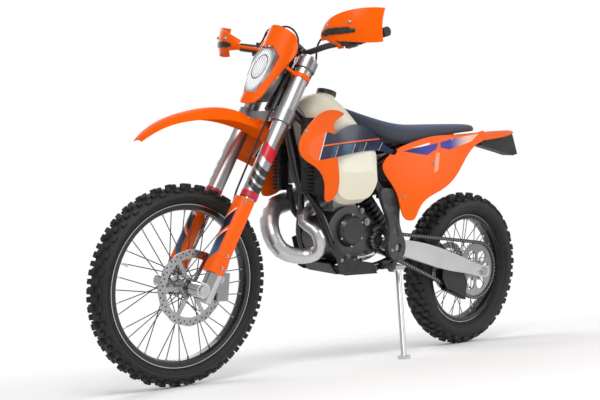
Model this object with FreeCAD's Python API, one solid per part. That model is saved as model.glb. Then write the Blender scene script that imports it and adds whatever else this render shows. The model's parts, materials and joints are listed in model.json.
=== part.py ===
import FreeCAD, Part
import math
import os

# An enduro motorcycle, parked on its side stand.
# It is modelled upright in millimetres: X forward from the rear axle, Y to the rider's left,
# Z up from the ground. At the end every piece is leaned onto the stand and moved to the origin.

Vector = FreeCAD.Vector

# Whole machine
wheelbase = 1482.0
lean_deg = 11.0
origin_ahead_of_rear_axle = 746.0
origin_left_of_track = 238.9

# Clearances and overruns
body_gap = 0.3
fit_gap = 0.09
cut_overrun = 2.0
running_gap = 6.0

# Steering geometry
rake_deg = 26.5
clamp_offset = 22.0
axle_lead = 35.0
fork_half_spread = 107.0

# Front wheel
front_tyre_radius = 347.0
front_tyre_half_width = 45.0
front_crown_radius = 45.0
front_shoulder_half = 39.0
front_rim_radius = 279.0
front_rim_half = 23.0
front_bed_drop = 13.0
front_hub_flange_radius = 33.0
front_hub_barrel_radius = 21.0
front_hub_half = 46.0
front_flange_at = 28.0
front_axle_radius = 11.0
front_disc_radius = 130.0
front_disc_at = 62.0

# Rear wheel
rear_tyre_radius = 337.0
rear_tyre_half_width = 66.0
rear_crown_radius = 80.0
rear_shoulder_half = 58.0
rear_rim_radius = 240.0
rear_rim_half = 29.0
rear_bed_drop = 14.0
rear_hub_flange_radius = 42.0
rear_hub_barrel_radius = 27.0
rear_hub_half = 62.0
rear_flange_at = 30.0
rear_axle_radius = 12.0
rear_disc_radius = 110.0
rear_disc_at = -72.0

# Rims, spokes and brake discs
rim_lip = 3.0
rim_well_drop = 9.0
rim_wall = 4.0
spoke_count = 36
spoke_radius = 1.7
spoke_end_gap = 0.5
spoke_flange_offset = 4.0
spoke_rim_offset = 7.0
hub_flange_wall = 4.0
disc_thickness = 3.5
disc_band = 30.0
disc_wave = 3.0
disc_wave_count = 12
disc_arm_count = 6
disc_arm_width = 14.0
disc_seat_band = 12.0
caliper_bridge = 16.0
caliper_gap = 3.0
fork_lug_radius = 29.0

# Chain drive
chain_pitch = 15.875
rear_teeth = 48
front_teeth = 13
sprocket_thickness = 6.0
chain_line = 84.0
chain_half_height = 7.2
chain_plate = 2.0
chain_inner_width = 8.0
chain_half_width = 7.5
roller_radius = 5.1
countershaft_x = 630.0
countershaft_z = 486.0

# Frame
head_tube_low = 712.0
head_tube_high = 858.0
head_tube_radius = 32.0
stem_radius = 15.0
downtube_radius = 21.0
rail_radius = 14.0
spar_radius = 20.0
spar_half_spread = 98.0
rail_half_spread = 98.0
pivot_x = 553.0
pivot_z = 458.0
pivot_bolt_radius = 9.0
pivot_plate_in = 95.0
pivot_plate_out = 115.0
pivot_tube_radius = 23.0
subframe_radius = 11.0

# Swingarm
arm_wall = 26.0

# Engine
crank_x = 775.0
crank_z = 528.0
case_half_width = 76.0
cylinder_tilt_deg = 8.0
bore_block = 118.0
port_face = Vector(908, 0, 604)
pipe_end = Vector(600, -150, 742)
pipe_end_way = Vector(-45, -2, 11).normalize()

# Stand
stand_radius = 11.0
stand_pivot_x = 560.0
stand_pivot_y = 140.0
stand_pivot_z = 378.0
stand_toe_x = 640.0
stand_toe_y = 268.0
stand_lug_radius = 15.0
stand_head_radius = 17.0
peg_in = 127.0
stand_foot_radius = 24.0
stand_foot_height = 12.0

# Controls
bar_radius = 11.0
grip_radius = 16.5
grip_length = 122.0
bar_half_width = 405.0


def tyre_axle_height(radius, crown):
    """Axle height at which the leaned tyre just touches the ground."""
    return radius - crown + crown / math.cos(math.radians(lean_deg))


rear_axle = Vector(0, 0, tyre_axle_height(rear_tyre_radius, rear_crown_radius))
front_axle = Vector(wheelbase, 0, tyre_axle_height(front_tyre_radius, front_crown_radius))

rake = math.radians(rake_deg)
up_the_fork = Vector(-math.sin(rake), 0, math.cos(rake))
ahead_of_fork = Vector(math.cos(rake), 0, math.sin(rake))
leftwards = Vector(0, 1, 0)
fork_foot = front_axle - ahead_of_fork * (axle_lead + clamp_offset)


stand_axis = Vector(-0.10, 0.97, 0.096).normalize()


def on_fork(up, ahead, left):
    """A point in the steering axis's own frame."""
    return fork_foot + up_the_fork * up + ahead_of_fork * ahead + leftwards * left


def rod(start, end, radius):
    """A round bar between two points."""
    axis = end - start
    return Part.makeCylinder(radius, axis.Length, start, axis)


def cross_rod(x, z, from_y, to_y, radius):
    """A round bar across the machine."""
    return rod(Vector(x, from_y, z), Vector(x, to_y, z), radius)


def block(x_range, y_range, z_range):
    """A box given by its two ends along each axis."""
    size = [high - low for low, high in (x_range, y_range, z_range)]
    return Part.makeBox(*size, Vector(x_range[0], y_range[0], z_range[0]))


def mirrored(shape):
    """The same piece for the other side of the machine."""
    return shape.mirror(Vector(0, 0, 0), leftwards)


def both_sides(shape):
    return Part.makeCompound([shape, mirrored(shape)])


def joined(shapes):
    """One solid from pieces that run into each other."""
    return shapes[0].fuse(shapes[1:]).removeSplitter()


def bend_path(points, share=0.45):
    """Straight runs joined by tangent arcs, each as large as its two runs allow."""
    edges = []
    at = points[0]
    for before, corner, after in zip(points, points[1:], points[2:]):
        into = (corner - before).normalize()
        out = (after - corner).normalize()
        turn = into.getAngle(out)
        setback = share * min((corner - before).Length, (after - corner).Length)
        begin = corner - into * setback
        finish = corner + out * setback
        radius = setback / math.tan(turn / 2)
        inward = (out - into).normalize()
        middle = corner + inward * (radius / math.cos(turn / 2) - radius)
        edges.append(Part.makeLine(at, begin))
        edges.append(Part.Arc(begin, middle, finish).toShape())
        at = finish
    edges.append(Part.makeLine(at, points[-1]))
    return Part.Wire(edges)


def tube(points, radius):
    """A round tube bent along a route."""
    if len(points) == 2:
        return rod(points[0], points[1], radius)
    ring = Part.Wire(Part.makeCircle(radius, points[0], points[1] - points[0]))
    return bend_path(points).makePipeShell([ring], True, False)


def polygon(points):
    return Part.Wire(Part.makePolygon(list(points) + [points[0]]))


def smooth_loop(points):
    """A closed smooth curve through points."""
    curve = Part.BSplineCurve()
    curve.interpolate(list(points), PeriodicFlag=True)
    return Part.Wire(curve.toShape())


def spread(shares, corner, size):
    """Side-view points (x, z) from shares of a length and a height."""
    return [(corner[0] + along * size[0], corner[1] + up * size[1]) for along, up in shares]


def side_wire(outline, y, smooth=False):
    points = [Vector(x, y, z) for x, z in outline]
    return smooth_loop(points) if smooth else polygon(points)


def side_plate(outline, y_range, smooth=False):
    """A flat piece with an outline seen from the side."""
    face = Part.Face(side_wire(outline, y_range[0], smooth))
    return face.extrude(leftwards * (y_range[1] - y_range[0]))


def loft(wires, ruled=False):
    """A solid through closed sections, turned the right way out."""
    solid = Part.makeLoft(wires, True, ruled)
    if solid.Volume < 0:
        solid.reverse()
    return solid


def ring_wire(centre, along, sideways, radius):
    """A circle square to a line, with its seam to a given side so that a loft doesn't twist."""
    circle = Part.makeCircle(radius)
    turn = FreeCAD.Rotation(sideways, along.cross(sideways), along, "ZXY")
    circle.Placement = FreeCAD.Placement(centre, turn)
    return Part.Wire(circle)


def revolve_about_axle(profile, axle):
    """A ring turned about the axle from (radius, across) points."""
    face = Part.Face(polygon([Vector(radius, across, 0) for radius, across in profile]))
    ring = face.revolve(Vector(0, 0, 0), leftwards, 360)
    ring.translate(axle)
    return ring


def curved_sheet(rows, thickness):
    """A moulded skin between a smooth surface through rows of points and its copy set to one side."""
    surface = Part.BSplineSurface()
    surface.interpolate(rows)
    return surface.toShape().extrude(thickness)


def skin_panel(outline, stations, levels, stand_off_shares, stand_off, thickness):
    """A moulded side panel: a curved sheet that stands off the centre plane, cut to its outline."""
    rows = []
    for x, shares in zip(stations, stand_off_shares):
        rows.append([Vector(x, share * stand_off, z) for z, share in zip(levels, shares)])
    skin = curved_sheet(rows, Vector(0, -thickness, 0))
    cutter = side_plate(outline, (0, stand_off * 2), True)
    return skin.common(cutter)


def tyre(radius, half_width, crown, shoulder, rim_radius, rim_half, bed_drop, axle):
    """A tyre out to the tips of its lugs, seated in the rim."""
    angle = math.asin(shoulder / crown)
    shoulder_radius = radius - crown + crown * math.cos(angle)
    bead_radius = rim_radius + rim_lip
    bed = rim_radius - bed_drop + body_gap
    bead = rim_half - rim_lip - body_gap
    widest = (shoulder_radius + bead_radius) / 2

    def at(r, y):
        return Vector(r, y, 0)

    edges = [
        Part.makeLine(at(bed, -bead), at(bed, bead)),
        Part.makeLine(at(bed, bead), at(bead_radius, bead)),
        Part.Arc(at(bead_radius, bead), at(widest, half_width), at(shoulder_radius, shoulder)).toShape(),
        Part.Arc(at(shoulder_radius, shoulder), at(radius, 0), at(shoulder_radius, -shoulder)).toShape(),
        Part.Arc(at(shoulder_radius, -shoulder), at(widest, -half_width), at(bead_radius, -bead)).toShape(),
        Part.makeLine(at(bead_radius, -bead), at(bed, -bead)),
    ]
    ring = Part.Face(Part.Wire(edges)).revolve(Vector(0, 0, 0), leftwards, 360)
    ring.translate(axle)
    return ring


def rim(rim_radius, half, bed_drop, axle):
    """A drop-centre rim with two thin flanges."""
    bed = rim_radius - bed_drop
    well = bed - rim_well_drop
    inner = half - rim_lip
    right_to_left = [
        (rim_radius, half), (rim_radius, inner), (bed, inner), (bed, -inner),
        (rim_radius, -inner), (rim_radius, -half), (bed - rim_wall, -half),
        (well, -inner / 2), (well, inner / 2), (bed - rim_wall, half),
    ]
    return revolve_about_axle(right_to_left, axle)


def rim_inner_radius(rim_radius, bed_drop):
    return rim_radius - bed_drop - rim_well_drop


def spokes(hub_radius, flange_at, rim_radius, bed_drop, axle):
    """Laced wire spokes that lead and trail from both hub flanges."""
    inner = hub_radius + spoke_radius + body_gap
    outer = rim_inner_radius(rim_radius, bed_drop) - spoke_end_gap
    wires = []
    for number in range(spoke_count):
        side = 1 if number % 2 else -1
        leading = 1 if (number // 2) % 2 else -1
        rim_angle = 2 * math.pi * number / spoke_count
        hub_angle = rim_angle + leading * math.radians(62)
        across = side * (flange_at + leading * spoke_flange_offset)
        start = Vector(inner * math.cos(hub_angle), across, inner * math.sin(hub_angle))
        end = Vector(outer * math.cos(rim_angle), side * spoke_rim_offset, outer * math.sin(rim_angle))
        wires.append(rod(axle + start, axle + end, spoke_radius))
    return Part.makeCompound(wires)


def hub(flange_radius, barrel_radius, half, flange_at, bore, seat_at, seat_radius, axle):
    """A spool hub with two spoke flanges and a seat for the disc or sprocket."""
    wall = hub_flange_wall + spoke_flange_offset
    end_radius = (barrel_radius + flange_radius) / 2
    profile = [
        (bore, -half), (end_radius, -half), (end_radius, -flange_at - wall),
        (flange_radius, -flange_at - wall), (flange_radius, -flange_at + wall),
        (barrel_radius, -flange_at + wall * 2), (barrel_radius, flange_at - wall * 2),
        (flange_radius, flange_at - wall), (flange_radius, flange_at + wall),
        (end_radius, flange_at + wall), (end_radius, half), (bore, half),
    ]
    body = revolve_about_axle(profile, axle)
    side = 1 if seat_at > 0 else -1
    inner_face = side * half
    seat = rod(axle + leftwards * inner_face, axle + leftwards * seat_at, seat_radius)
    bored = seat.cut(rod(axle + leftwards * inner_face, axle + leftwards * seat_at, bore))
    return joined([body, bored])


def wave_disc(radius, bore, at, axle):
    """A thin brake disc with a waved rim, an open band and arms to its seat."""
    count = disc_wave_count * 8
    points = []
    for step in range(count):
        angle = 2 * math.pi * step / count
        reach = radius - disc_wave / 2 + disc_wave / 2 * math.cos(disc_wave_count * angle)
        points.append(Vector(reach * math.cos(angle), 0, reach * math.sin(angle)))
    plate = Part.Face(smooth_loop(points)).extrude(leftwards * disc_thickness)
    band = rod(Vector(0, 0, 0), leftwards * disc_thickness, radius - disc_band)
    seat = rod(Vector(0, 0, 0), leftwards * disc_thickness, bore + disc_seat_band)
    hole = rod(Vector(0, 0, 0), leftwards * disc_thickness, bore)
    arms = []
    for number in range(disc_arm_count):
        arm = block((bore, radius - disc_band / 2), (0, disc_thickness),
                    (-disc_arm_width / 2, disc_arm_width / 2))
        arms.append(arm.rotate(Vector(0, 0, 0), leftwards, 360 * number / disc_arm_count))
    disc = joined([plate.cut(band), seat] + arms).cut(hole)
    disc.translate(axle + leftwards * (at - disc_thickness / 2))
    return disc


def pitch_radius(teeth):
    return chain_pitch / (2 * math.sin(math.pi / teeth))


def toothed_face(teeth):
    """A sprocket outline with a seat for each roller."""
    pitch = pitch_radius(teeth)
    tip = pitch + roller_radius
    root = pitch - roller_radius - body_gap
    points = []
    for tooth in range(teeth):
        middle = 2 * math.pi * tooth / teeth
        step = 2 * math.pi / teeth
        for share, reach in ((-0.30, root), (-0.07, tip), (0.07, tip), (0.30, root)):
            angle = middle + share * step
            points.append(Vector(reach * math.cos(angle), 0, reach * math.sin(angle)))
    return Part.Face(polygon(points))


def sprocket(teeth, bore, axle, open_count):
    """A flat sprocket with rounded windows between its arms."""
    plate = toothed_face(teeth).extrude(leftwards * sprocket_thickness)
    plate = plate.cut(rod(Vector(0, 0, 0), leftwards * sprocket_thickness, bore))
    reach = (pitch_radius(teeth) + bore) / 2
    window = (pitch_radius(teeth) - bore) / 4
    for number in range(open_count):
        angle = 2 * math.pi * number / open_count
        middle = Vector(reach * math.cos(angle), 0, reach * math.sin(angle))
        plate = plate.cut(rod(middle, middle + leftwards * sprocket_thickness, window))
    plate.translate(axle + leftwards * (chain_line - sprocket_thickness / 2))
    return plate


def chain_loop(offset):
    """The closed line of the chain, set out by an offset from the rollers' centres."""
    rear = pitch_radius(rear_teeth)
    front = pitch_radius(front_teeth)
    countershaft = Vector(countershaft_x, 0, countershaft_z)
    line = countershaft - rear_axle
    slope = math.atan2(line.z, line.x)
    taper = math.asin((rear - front) / line.Length)
    top = slope + math.pi / 2 - taper
    low = slope - math.pi / 2 + taper

    def on(centre, radius, angle):
        return centre + Vector(math.cos(angle), 0, math.sin(angle)) * (radius + offset)

    back = slope + math.pi
    edges = [
        Part.makeLine(on(rear_axle, rear, top), on(countershaft, front, top)),
        Part.Arc(on(countershaft, front, top), on(countershaft, front, slope),
                 on(countershaft, front, low)).toShape(),
        Part.makeLine(on(countershaft, front, low), on(rear_axle, rear, low)),
        Part.Arc(on(rear_axle, rear, low), on(rear_axle, rear, back), on(rear_axle, rear, top)).toShape(),
    ]
    return Part.Wire(edges)


def chain():
    """Two runs of side plates, one on each side of the sprockets."""
    band = Part.Face(chain_loop(chain_half_height)).cut(Part.Face(chain_loop(-chain_half_height)))
    sides = []
    for inner, outer in ((chain_inner_width / 2, chain_half_width), (-chain_half_width, -chain_inner_width / 2)):
        side = band.extrude(leftwards * (outer - inner))
        side.translate(leftwards * (chain_line + inner))
        sides.append(side)
    return Part.makeCompound(sides)


def head_ring():
    """The head tube and the bore for the stem, which runs past it at both ends."""
    low = on_fork(head_tube_low, 0, 0)
    high = on_fork(head_tube_high, 0, 0)
    past = up_the_fork * head_tube_radius
    return rod(low, high, head_tube_radius), rod(low - past, high + past, stem_radius + fit_gap)


def frame():
    """A single downtube that splits into a cradle, two spars and the pivot plates."""
    head, bore = head_ring()
    downtube = tube([on_fork(770, -20, 0), Vector(985, 0, 745), Vector(952, 0, 668)], downtube_radius)
    rail = tube([Vector(960, 6, 690), Vector(915, 48, 615), Vector(884, 92, 500), Vector(850, 98, 430),
                 Vector(800, 98, 388), Vector(655, 100, 384), Vector(560, 108, 415)], rail_radius)
    spar = tube([on_fork(770, -18, 14), Vector(985, 40, 925), Vector(850, 78, 845),
                 Vector(705, 98, 745), Vector(604, 110, 640), Vector(558, 115, 505)], spar_radius)
    peg_lug = block((602, 640), (rail_half_spread, peg_in), (376, 402))
    pivot = Vector(stand_pivot_x, stand_pivot_y, stand_pivot_z)
    stand_lug = rod(pivot - stand_axis * 40, pivot - stand_axis * (11 + body_gap), stand_lug_radius)
    stand_web = block((stand_pivot_x - 12, stand_pivot_x + 12), (rail_half_spread + 4, peg_in - 4),
                      (stand_pivot_z, 416))
    plate_outline = spread([(0.1, 0.0), (0.75, 0.0), (1.0, 0.25), (0.8, 1.0), (0.2, 1.0), (0.0, 0.5)],
                           (520, 400), (75, 150))
    plate = side_plate(plate_outline, (pivot_plate_in, pivot_plate_out))
    halves = [rail, spar, plate, peg_lug]
    others = [mirrored(half) for half in halves]
    cross = cross_rod(700, 741, -spar_half_spread, spar_half_spread, rail_radius)
    low_cross = cross_rod(655, 385, -rail_half_spread, rail_half_spread, rail_radius)
    whole = joined([head, downtube, cross, low_cross, stand_lug, stand_web] + halves + others)
    bolt_hole = cross_rod(pivot_x, pivot_z, -pivot_plate_out * 2, pivot_plate_out * 2,
                          pivot_bolt_radius + fit_gap)
    return whole.cut(bore).cut(bolt_hole)


def subframe(frame_shape):
    """Light rails behind the spars that carry the seat."""
    top = tube([Vector(690, 92, 752), Vector(600, 84, 812), Vector(450, 80, 838), Vector(250, 66, 891),
                Vector(40, 46, 906)], subframe_radius)
    low = tube([Vector(604, 98, 600), Vector(440, 88, 690), Vector(255, 66, 886)], subframe_radius)
    cross = cross_rod(250, 889, -66, 66, subframe_radius)
    tail = cross_rod(60, 904.5, -48, 48, subframe_radius)
    return joined([cross, tail, top, low, mirrored(top), mirrored(low)]).cut(frame_shape)


def frame_guards(frame_shape):
    """Plastic guards that wrap the outside of the spars above the pivot."""
    outline = spread([(0.62, 1.0), (1.0, 0.97), (0.78, 0.66), (0.62, 0.42), (0.64, 0.12), (0.5, 0.0),
                      (0.1, 0.0), (0.0, 0.2), (0.2, 0.42), (0.28, 0.7)], (515, 418), (150, 272))
    guard = side_plate(outline, (pivot_plate_out, pivot_plate_out + 18), True)
    guard = guard.cut(frame_shape)
    pivot = cross_rod(pivot_x, pivot_z, 0, pivot_plate_out * 2, pivot_bolt_radius * 2)
    return both_sides(guard.cut(pivot))


def swingarm():
    """Two tapering arms, a cross brace and a pivot tube."""
    stations = [
        (-48, 98, 122, 318, 359), (20, 98, 124, 314, 366), (90, 97, 124, 330, 388),
        (170, 95, 123, 342, 414), (270, 90, 119, 361, 444), (400, 76, 106, 396, 474),
        (480, 66, 96, 420, 484), (553, 60, 88, 434, 482),
    ]
    wires = []
    for x, y_in, y_out, low, high in stations:
        wires.append(polygon([Vector(x, y_in, low), Vector(x, y_out, low),
                              Vector(x, y_out, high), Vector(x, y_in, high)]))
    arm = loft(wires)
    brace = block((385, 470), (-80, 80), (412, 470))
    boss = cross_rod(pivot_x, pivot_z, -pivot_plate_in + body_gap, pivot_plate_in - body_gap,
                     pivot_tube_radius)
    whole = joined([arm, mirrored(arm), brace, boss])
    whole = whole.cut(cross_rod(pivot_x, pivot_z, -pivot_plate_out, pivot_plate_out,
                                pivot_bolt_radius + fit_gap))
    return whole.cut(cross_rod(rear_axle.x, rear_axle.z, -pivot_plate_out * 2, pivot_plate_out * 2,
                               rear_axle_radius + fit_gap))


def rear_axle_bolt():
    """The rear axle with its spacers, adjuster blocks and nuts."""
    bolt = cross_rod(rear_axle.x, rear_axle.z, -128, 128, rear_axle_radius)
    spacer = cross_rod(rear_axle.x, rear_axle.z, 92, 98 - body_gap, rear_axle_radius + 6)
    nut = cross_rod(rear_axle.x, rear_axle.z, 124 + body_gap, 136, rear_axle_radius + 6)
    return joined([bolt, spacer, nut, mirrored(spacer), mirrored(nut)])


def pivot_bolt():
    bolt = cross_rod(pivot_x, pivot_z, -pivot_plate_out - 8, pivot_plate_out + 8, pivot_bolt_radius)
    head = cross_rod(pivot_x, pivot_z, pivot_plate_out + body_gap, pivot_plate_out + 8,
                     pivot_bolt_radius * 1.6)
    return joined([bolt, head, mirrored(head)])


def crankcase():
    """The engine's cases, with the gearbox behind the crank."""
    outline = spread([(0.0, 0.35), (0.05, 0.62), (0.25, 0.78), (0.45, 0.98), (0.66, 1.0), (0.86, 0.9),
                      (1.0, 0.62), (0.98, 0.35), (0.82, 0.08), (0.55, 0.0), (0.2, 0.05)],
                     (595, 405), (290, 215))
    return side_plate(outline, (-case_half_width, case_half_width), True)


def ignition_cover():
    """The round cover on the left of the crank, with ribs round its face."""
    at = Vector(crank_x, case_half_width, crank_z)
    base = Part.makeCone(64, 60, 14, at, leftwards)
    face = Part.makeCone(60, 50, 12, at + leftwards * 14, leftwards)
    return joined([base, face])


def clutch_cover():
    """The round clutch cover and the case behind it, on the right."""
    at = Vector(crank_x - 95, -case_half_width, crank_z - 28)
    right = leftwards * -1
    base = Part.makeCone(84, 80, 20, at, right)
    face = Part.makeCone(68, 60, 16, at + right * 20, right)
    return joined([base, face])


def cylinder_axis(height, ahead=0, across=0):
    tilt = math.radians(cylinder_tilt_deg)
    along = Vector(math.sin(tilt), 0, math.cos(tilt))
    forward = Vector(math.cos(tilt), 0, -math.sin(tilt))
    return Vector(crank_x, 0, crank_z) + along * height + forward * ahead + leftwards * across


def cylinder_slab(low, high, half_long, half_wide):
    wires = []
    for height in (low, high):
        wires.append(polygon([cylinder_axis(height, sx * half_long, sy * half_wide)
                              for sx, sy in ((-1, -1), (1, -1), (1, 1), (-1, 1))]))
    return loft(wires, True)


def cylinder(case_shape):
    """The barrel, with its exhaust port in front and its intake port behind."""
    barrel = cylinder_slab(60, 220, bore_block / 2, bore_block / 2)
    port = rod(cylinder_axis(130, 20), port_face, 27)
    intake = rod(cylinder_axis(130, -bore_block / 2 - 18), cylinder_axis(130, -bore_block / 2 + cut_overrun), 30)
    return joined([barrel, port, intake]).cut(case_shape)


def cylinder_head():
    return cylinder_slab(220, 262, bore_block * 0.5, bore_block * 0.5)


def coned_pipe(route, way_in, way_out):
    """A pipe of short cones welded end to end along a smooth line through (centre, radius) stations."""
    line = Part.BSplineCurve()
    line.interpolate([centre for centre, _ in route], InitialTangent=way_in, FinalTangent=way_out)
    stops = [line.parameter(centre) for centre, _ in route]
    wires = []
    sideways = leftwards
    for number in range(len(route)):
        shares = (0, 0.5) if number + 1 < len(route) else (0,)
        for share in shares:
            after = min(number + 1, len(route) - 1)
            at = stops[number] + (stops[after] - stops[number]) * share
            radius = route[number][1] + (route[after][1] - route[number][1]) * share
            along = line.tangent(at)[0]
            sideways = (sideways - along * sideways.dot(along)).normalize()
            wires.append(ring_wire(line.value(at), along, sideways, radius))
    return loft(wires, True)


def exhaust():
    """The expansion chamber: out to the left, down, under and up the right side."""
    way_out = (port_face - cylinder_axis(130, 20)).normalize()
    route = [
        (port_face + way_out * body_gap, 19), (port_face + way_out * 26, 19.5), (Vector(955, 14, 556), 20.5),
        (Vector(940, 48, 535), 22), (Vector(924, 72, 498), 24), (Vector(916, 66, 456), 26),
        (Vector(934, 34, 432), 28), (Vector(978, 4, 430), 30), (Vector(1026, -24, 450), 32),
        (Vector(1050, -52, 500), 34), (Vector(1040, -84, 556), 36), (Vector(1002, -112, 600), 37),
        (Vector(944, -130, 618), 38), (Vector(876, -144, 638), 40), (Vector(790, -148, 672), 36),
        (Vector(700, -146, 710), 26), (Vector(645, -148, 731), 16), (pipe_end, 14),
    ]
    return coned_pipe(route, way_out, pipe_end_way)


def pipe_space():
    """The room under the tank's right lobe that the exhaust takes."""
    outline = [(960, 690), (900, 700), (780, 735), (680, 765), (680, 600), (960, 600)]
    return side_plate(outline, (-300, 0))


def silencer():
    """The silencer can on the right, with its end cap."""
    front = pipe_end + pipe_end_way * body_gap
    can_front = Vector(440, -156, 774)
    can_back = Vector(90, -158, 846)
    wires = []
    for centre, wide, high in ((can_front, 40, 52), (Vector(260, -158, 811), 42, 56), (can_back, 38, 50)):
        points = []
        for step in range(16):
            angle = 2 * math.pi * step / 16
            points.append(centre + Vector(0, wide * math.cos(angle), high * math.sin(angle)))
        wires.append(smooth_loop(points))
    can = loft(wires)
    cone = loft([Part.Wire(Part.makeCircle(14, front, pipe_end_way)),
                 Part.Wire(Part.makeCircle(36, can_front, can_front - front))])
    outlet = rod(can_back - Vector(-6, 0, 0), can_back + Vector(-34, 0, 6), 18)
    return joined([can, cone, outlet])


def silencer_space():
    """The space that the right side panel leaves for the silencer below it."""
    outline = [(720, 770), (600, 802), (90, 906), (-60, 932), (-60, 500), (720, 500)]
    return side_plate(outline, (-300, 0))


def skid_plate():
    """A pan under the engine, turned up in front and at both sides."""
    outline = spread([(0.0, 0.2), (0.07, 0.0), (0.86, 0.0), (1.0, 0.92), (0.975, 1.0), (0.84, 0.14),
                      (0.08, 0.14), (0.02, 0.3)], (604, 361), (270, 44))
    pan = side_plate(outline, (-80, 80))
    side = side_plate(spread([(0.0, 0.0), (0.72, 0.0), (0.84, 0.1), (1.0, 0.95), (0.93, 1.0), (0.76, 0.5),
                              (0.1, 0.3)], (655, 361), (240, 132)), (117, 121))
    floor = block((658, 822), (78, 121), (361, 367))
    pad = block((700, 740), (92, 104), (361, 370.8))
    return joined([pan, side, floor, pad, mirrored(side), mirrored(floor), mirrored(pad)])


def fuel_tank(keep_clear):
    """A tank over the spars, with a lobe down each side of the engine."""
    stations = [
        (1012, 34, 990, 925), (985, 74, 1012, 885), (940, 104, 1034, 850), (870, 118, 1030, 838),
        (800, 122, 978, 836), (730, 116, 905, 836), (686, 96, 868, 840),
    ]
    wires = []
    for x, half, top, low in stations:
        middle = (top + low) / 2
        ring = [(0, top), (half * 0.55, top - (top - low) * 0.05), (half * 0.92, middle + (top - low) * 0.2),
                (half, middle - (top - low) * 0.1), (half * 0.8, low + (top - low) * 0.08), (0, low),
                (-half * 0.8, low + (top - low) * 0.08), (-half, middle - (top - low) * 0.1),
                (-half * 0.92, middle + (top - low) * 0.2), (-half * 0.55, top - (top - low) * 0.05)]
        wires.append(smooth_loop([Vector(x, y, z) for y, z in ring]))
    body = loft(wires)
    lobe_shares = [(0.0, 0.72), (0.06, 0.42), (0.22, 0.08), (0.5, 0.0), (0.82, 0.04), (0.98, 0.3),
                   (1.0, 0.75), (0.9, 1.0), (0.5, 1.02), (0.08, 1.0)]
    full = spread(lobe_shares, (690, 632), (240, 218))
    inset = spread(lobe_shares, (706, 650), (208, 98))
    lobe = loft([side_wire(full, 106, True), side_wire(full, 122, True), side_wire(inset, 148, True)], True)
    neck = rod(Vector(862, 0, 1015), Vector(856, 0, 1040), 34)
    whole = joined([body, lobe, mirrored(lobe).cut(pipe_space()), neck])
    for other in keep_clear:
        whole = whole.cut(other)
    return whole


def fuel_cap():
    low = Vector(856, 0, 1040) + Vector(-0.1, 0, body_gap)
    cap = Part.makeCylinder(38, 16, low, Vector(-6, 0, 25))
    return cap


def seat(keep_clear):
    """The long flat seat, from the tank to the tail."""
    stations = [
        (838, 40, 1008, 985), (800, 62, 1001, 950), (735, 92, 985, 905), (650, 116, 968, 882),
        (557, 122, 955, 858), (465, 118, 952, 866), (370, 108, 957, 890), (278, 98, 964, 908),
        (150, 84, 972, 928), (40, 66, 979, 940), (0, 46, 972, 946),
    ]
    wires = []
    for x, half, top, low in stations:
        deep = top - low
        ring = [(0, top), (half * 0.5, top - deep * 0.03), (half * 0.82, top - deep * 0.16),
                (half, low + deep * 0.22), (half * 0.93, low), (0, low + deep * 0.06),
                (-half * 0.93, low), (-half, low + deep * 0.22), (-half * 0.82, top - deep * 0.16),
                (-half * 0.5, top - deep * 0.03)]
        wires.append(smooth_loop([Vector(x, y, z) for y, z in ring]))
    whole = loft(wires)
    for other in keep_clear:
        whole = whole.cut(other)
    return whole


def radiator_slab(behind, depth, margin):
    """A slab swept back outward, behind the fork legs' sweep."""
    wires = []
    for z, front, outer in ((672 - margin, 1016, 146), (942 + margin, 1032, 128)):
        edge = [(front - behind - (y - 64) * 0.55, y) for y in (66 - margin, outer + margin)]
        back = [(x - depth, y) for x, y in reversed(edge)]
        wires.append(polygon([Vector(x, y, z) for x, y in edge + back]))
    return loft(wires, True)


def radiator():
    """One radiator core with its tanks, to the left of the downtube."""
    return radiator_slab(10 + body_gap, 38, 0)


def radiator_guard():
    """The louvred guard over the front of a radiator."""
    return radiator_slab(0, 10, 2)


def shroud_skin(outline):
    """The skin that the shroud and its wing share, cut to an outline."""
    return skin_panel(outline, (560, 760, 900, 1030, 1180), (630, 740, 810, 890, 990),
                      ((0.55, 0.55, 0.55, 0.55, 0.54), (0.62, 0.62, 0.62, 0.61, 0.59),
                       (0.72, 0.72, 0.715, 0.66, 0.60), (0.87, 0.88, 0.85, 0.79, 0.72),
                       (0.96, 0.98, 1.0, 0.94, 0.86)), 218, 4)


def wing_outline():
    return spread([(0.0, 0.36), (0.19, 0.62), (0.27, 0.80), (0.385, 0.97), (0.61, 0.77), (0.67, 0.68),
                   (0.75, 0.71), (1.0, 0.13), (0.96, 0.02), (0.88, 0.0), (0.60, 0.14), (0.32, 0.30),
                   (0.07, 0.24), (0.01, 0.27)],
                  (588, 792), (516, 142))


def shroud():
    """The left radiator shroud, from its front tip down to the end of the strip."""
    outline = spread([(0.0, 0.98), (0.12, 1.0), (0.45, 0.96), (0.67, 0.87), (1.0, 0.50), (0.88, 0.425),
                      (0.66, 0.35), (0.55, 0.285), (0.46, 0.11), (0.44, 0.0), (0.19, 0.05), (0.18, 0.45),
                      (0.2, 0.7), (0.22, 0.8), (0.16, 0.88)],
                     (882, 649), (274, 327))
    return shroud_skin(outline).cut(side_plate(wing_outline(), (0, 300), True))


def shroud_wing():
    """The dark wing that runs back from the shroud over the tank."""
    return shroud_skin(wing_outline())


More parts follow.
